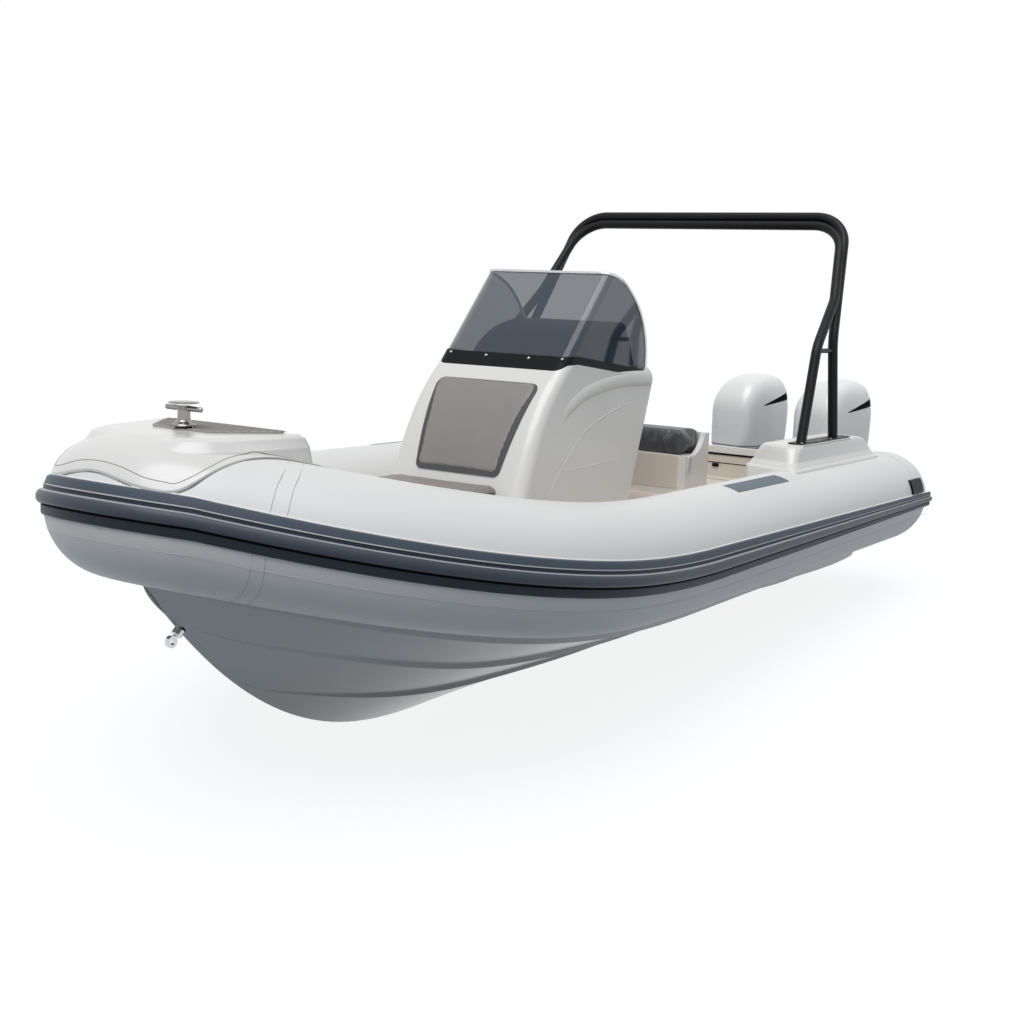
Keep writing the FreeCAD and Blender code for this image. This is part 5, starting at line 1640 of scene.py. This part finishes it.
@dataclass
class Outboard(Boat):
    """One outboard engine with its brackets and propeller."""

    side: Side
    steer_x: float = -3.105
    spacing: float = 0.335
    steer: float = math.radians(15.0)
    middle_x: float = -3.545
    foot: float = 0.600
    size: Point = (0.312, 0.186, 0.562)
    levels: tuple[tuple[float, float, float, float, float], ...] = (
        (0.000, 0.82, 0.91, 0.91, 5.4), (0.030, 0.84, 0.94, 0.95, 5.6), (0.150, 0.84, 0.97, 0.98, 5.8),
        (0.400, 0.84, 0.99, 1.00, 5.8), (0.560, 0.83, 0.99, 1.00, 5.6), (0.680, 0.77, 0.98, 0.98, 4.8),
        (0.780, 0.66, 0.96, 0.94, 4.2), (0.860, 0.53, 0.92, 0.87, 3.7), (0.920, 0.37, 0.85, 0.76, 3.2),
        (0.962, 0.19, 0.74, 0.62, 2.8), (0.985, 0.04, 0.63, 0.46, 2.5), (0.996, -0.08, 0.52, 0.30, 2.3),
        (1.000, -0.18, 0.42, 0.14, 2.2))
    around: int = 56
    vent_steps: int = 12
    vent_front: float = 0.045
    vent_length: float = 0.312
    vent_low: tuple[float, float] = (0.925, 0.045)
    vent_high: tuple[float, float] = (0.931, 0.100)
    vent_proud: float = 0.0016
    vent_depth: float = 0.006
    bolts_across: tuple[float, ...] = (-0.070, 0.070)
    bolts_up: tuple[float, ...] = (0.220, 0.300, 0.430, 0.490)

    @property
    def body(self) -> Body:
        """The body that the engine rides on."""
        return Body.PORT_ENGINE if self.side is Side.PORT else Body.STARBOARD_ENGINE

    def turned(self, x: float, y: float, z: float) -> Vector:
        """Point of the straight engine where the steered one has it."""
        ahead = x - self.steer_x
        return Vector((self.steer_x + ahead * math.cos(self.steer) + y * math.sin(self.steer),
                       self.side.value * self.spacing - ahead * math.sin(self.steer) + y * math.cos(self.steer), z))

    def ring(self, share: float, front: float, aft: float, width: float, power: float) -> Ring:
        """Closed section of the cowl at a share of its height."""
        long, half, high = self.size
        middle = (front - aft) / 2 * long
        reach = (front + aft) / 2 * long
        made = []
        for i in range(self.around):
            angle = 2 * math.pi * i / self.around
            c, s = math.cos(angle), math.sin(angle)
            x = math.copysign(abs(c) ** (2 / power), c) * reach
            y = math.copysign(abs(s) ** (2 / power), s) * half * width
            made.append(self.turned(self.middle_x + middle + x, y, self.foot + high * share))
        return made

    def cowl(self) -> bpy.types.Object:
        """Builds the cowl: flat sides, a leaning front and a domed top."""
        rows = smooth_line([Vector(level) for level in self.levels], 3)
        points, faces = skin([self.ring(*row) for row in rows])
        name = self.side.word + "_cowl"
        piece = make_piece(name + "_shell", points, faces, [Paintbox.cowl], None, 60.0)
        return mount(piece, self.body, Paintbox.cowl, name)

    def vents(self, cowl: bpy.types.Object) -> None:
        """Lays the dark wedge-shaped air vents high on both sides.

        Args:
            cowl: The cowl that they lie on.
        """
        shell = Skin(cowl)
        sheets = Shells()
        for hand in (1, -1):
            inward = self.turned(self.middle_x, 0, 0) - self.turned(self.middle_x, hand, 0)
            rings = []
            for i in range(self.vent_steps + 1):
                share = i / self.vent_steps
                x = self.middle_x + self.vent_front - self.vent_length * share
                low, high = (start + rise * share for start, rise in (self.vent_low, self.vent_high))
                line = [self.turned(x, hand * 0.6, low + (high - low) * j / 3) for j in range(4)]
                outer = [shell.meet(p, inward, self.vent_proud) for p in line]
                if None not in outer:
                    rings.append(outer + [p + inward.normalized() * self.vent_depth for p in reversed(outer)])
            sheets.add(rings)
        piece = make_piece(self.side.word + "_cowl_vents", sheets.points, sheets.faces, [Paintbox.groove], None, 80.0)
        mount(piece, self.body, Paintbox.trim)

    def build(self) -> None:
        """Builds and dresses the engine."""
        word = self.side.word
        cowl = self.cowl()
        self.vents(cowl)
        seam = self.ring(*self.levels[1])
        PipedLine(0.0028, Paintbox.trim).lay(word + "_cowl_seal", [seam], self.body, True)
        self.dress(Paintbox.block, word + "_powerhead")
        self.dress(Paintbox.casting, word + "_leg")
        self.dress(Paintbox.bracket, word + "_swivel_bracket", word + "_clamp_bracket")
        self.dress(Paintbox.propeller, word + "_propeller")
        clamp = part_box(word + "_clamp_bracket")
        bolts = [(Vector((clamp[1].x - 0.001, self.side.value * self.spacing + y, z)), Vector((1, 0, 0)))
                 for y in self.bolts_across for z in self.bolts_up]
        FastenerRow(0.009, 0.006, Paintbox.screw).place(word + "_transom_bolts", bolts)


# Studio


@dataclass
class Studio:
    """Camera, floor, lamp and background.

    The floor is the water's surface as the running boat meets it.
    """

    eye: Point = (6.4208, 4.2095, 1.6676)
    yaw: float = 33.537
    pitch: float = 8.840
    roll: float = 2.387
    lens: float = 48.52
    floor_level: float = -0.448
    floor_slope: float = -0.0725
    floor_cut: float = 0.2
    floor_reach: float = 40.0
    floor_colour: Colour = (0.155, 0.185, 0.215, 1.0)
    floor_glow: float = 0.87
    lamp_from: Point = (0.42, 0.13, 0.88)
    lamp_strength: float = 2.30
    lamp_spread: float = 50.0
    sky: float = 0.30
    sky_colour: Colour = (0.96, 0.98, 1.0, 1.0)

    @staticmethod
    def seen(wiring: Wiring, *rays: str) -> Socket:
        """1 for rays of the named kinds, 0 for others."""
        path = wiring.add("LightPath")
        share, *others = (path.outputs["Is " + kind + " Ray"] for kind in rays)
        for other in others:
            share = wiring.math("MAXIMUM", share, other)
        return share

    def camera(self) -> None:
        """Sets the camera where the photograph was taken from."""
        yaw, pitch, roll = (math.radians(v) for v in (self.yaw, self.pitch, self.roll))
        ahead = Vector((-math.cos(yaw) * math.cos(pitch), -math.sin(yaw) * math.cos(pitch), -math.sin(pitch)))
        level = ahead.cross(UP).normalized()
        upright = level.cross(ahead)
        right = level * math.cos(roll) + upright * math.sin(roll)
        up = upright * math.cos(roll) - level * math.sin(roll)
        data = bpy.data.cameras.new("camera")
        data.lens = self.lens
        data.sensor_width = 36.0
        data.clip_end = 200.0
        made = put("camera", data)
        matrix = made.matrix_world.copy()
        for i in range(3):
            matrix[i][0], matrix[i][1], matrix[i][2], matrix[i][3] = right[i], up[i], -ahead[i], self.eye[i]
        made.matrix_world = matrix
        bpy.context.scene.camera = made

    def floor(self) -> None:
        """Lays the pale floor in the plane of the water."""
        reach = self.floor_reach
        corners = [(-reach, -reach), (reach, -reach), (reach, reach), (-reach, reach)]
        points = [Vector((x, y, self.floor_level + self.floor_slope * (x - self.floor_cut))) for x, y in corners]
        mesh = plain_mesh("floor", points, faces=[(0, 1, 2, 3)])
        made = put("floor", mesh)
        graph = Graph("floor paint")
        pale = graph.add("BsdfDiffuse", Color=self.floor_colour)
        glow = graph.math("MULTIPLY", self.seen(graph, "Camera", "Glossy"), self.floor_glow)
        light = graph.add("Emission", Color=(1.0, 1.0, 1.0, 1.0), Strength=glow)
        both = graph.fill(graph.add("AddShader"), pale.outputs[0], light.outputs[0])
        graph.feed(both.outputs[0], graph.output.inputs[0])
        mesh.materials.append(graph.material)

    def world(self) -> None:
        """Sets an even sky that looks white behind the boat."""
        world = bpy.data.worlds.new("studio")
        bpy.context.scene.world = world
        world.use_nodes = True
        wiring = Wiring(world.node_tree, "ShaderNode")
        wiring.nodes.clear()
        plain = wiring.add("Background", Color=self.sky_colour, Strength=self.sky)
        white = wiring.add("Background", Color=(1.0, 1.0, 1.0, 1.0))
        share = self.seen(wiring, "Camera", "Glossy", "Transmission")
        mixed = wiring.fill(wiring.add("MixShader"), share, plain.outputs[0], white.outputs[0])
        wiring.fill(wiring.add("OutputWorld"), mixed.outputs[0])

    def lamp(self) -> None:
        """Hangs one wide soft lamp over the bow."""
        data = bpy.data.lights.new("soft_lamp", "SUN")
        data.energy = self.lamp_strength
        data.angle = math.radians(self.lamp_spread)
        made = put("soft_lamp", data)
        made.rotation_euler = Vector(self.lamp_from).to_track_quat("Z", "Y").to_euler()

    def build(self) -> None:
        """Sets up the studio."""
        bpy.context.scene.view_settings.view_transform = "Standard"
        self.camera()
        self.floor()
        self.world()
        self.lamp()


def clear_scene() -> None:
    """Removes what a new file holds."""
    for found in list(bpy.data.objects):
        bpy.data.objects.remove(found)


def corners(bounds: tuple[Vector, Vector]) -> list[list[float]]:
    """Two corners as plain lists."""
    return [[float(v) for v in corner] for corner in bounds]


def main() -> None:
    """Builds the boat's pieces in order and logs each group as it is built."""
    logging.basicConfig(level=logging.INFO, format="%(message)s")
    clear_scene()
    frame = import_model()
    nodes = frame["nodes"]
    collar = Collar(nodes)
    groups = [collar, Bow(nodes, collar), HullAndDeck(nodes), Console(nodes), HelmSeat(nodes), Stern(nodes)]
    groups += [Outboard(nodes, side) for side in Side]
    for group in groups:
        group.build()
        LOG.info("built %s", type(group).__name__)
    Studio().build()
    LOG.info("built the studio")


if __name__ == "__main__":
    main()
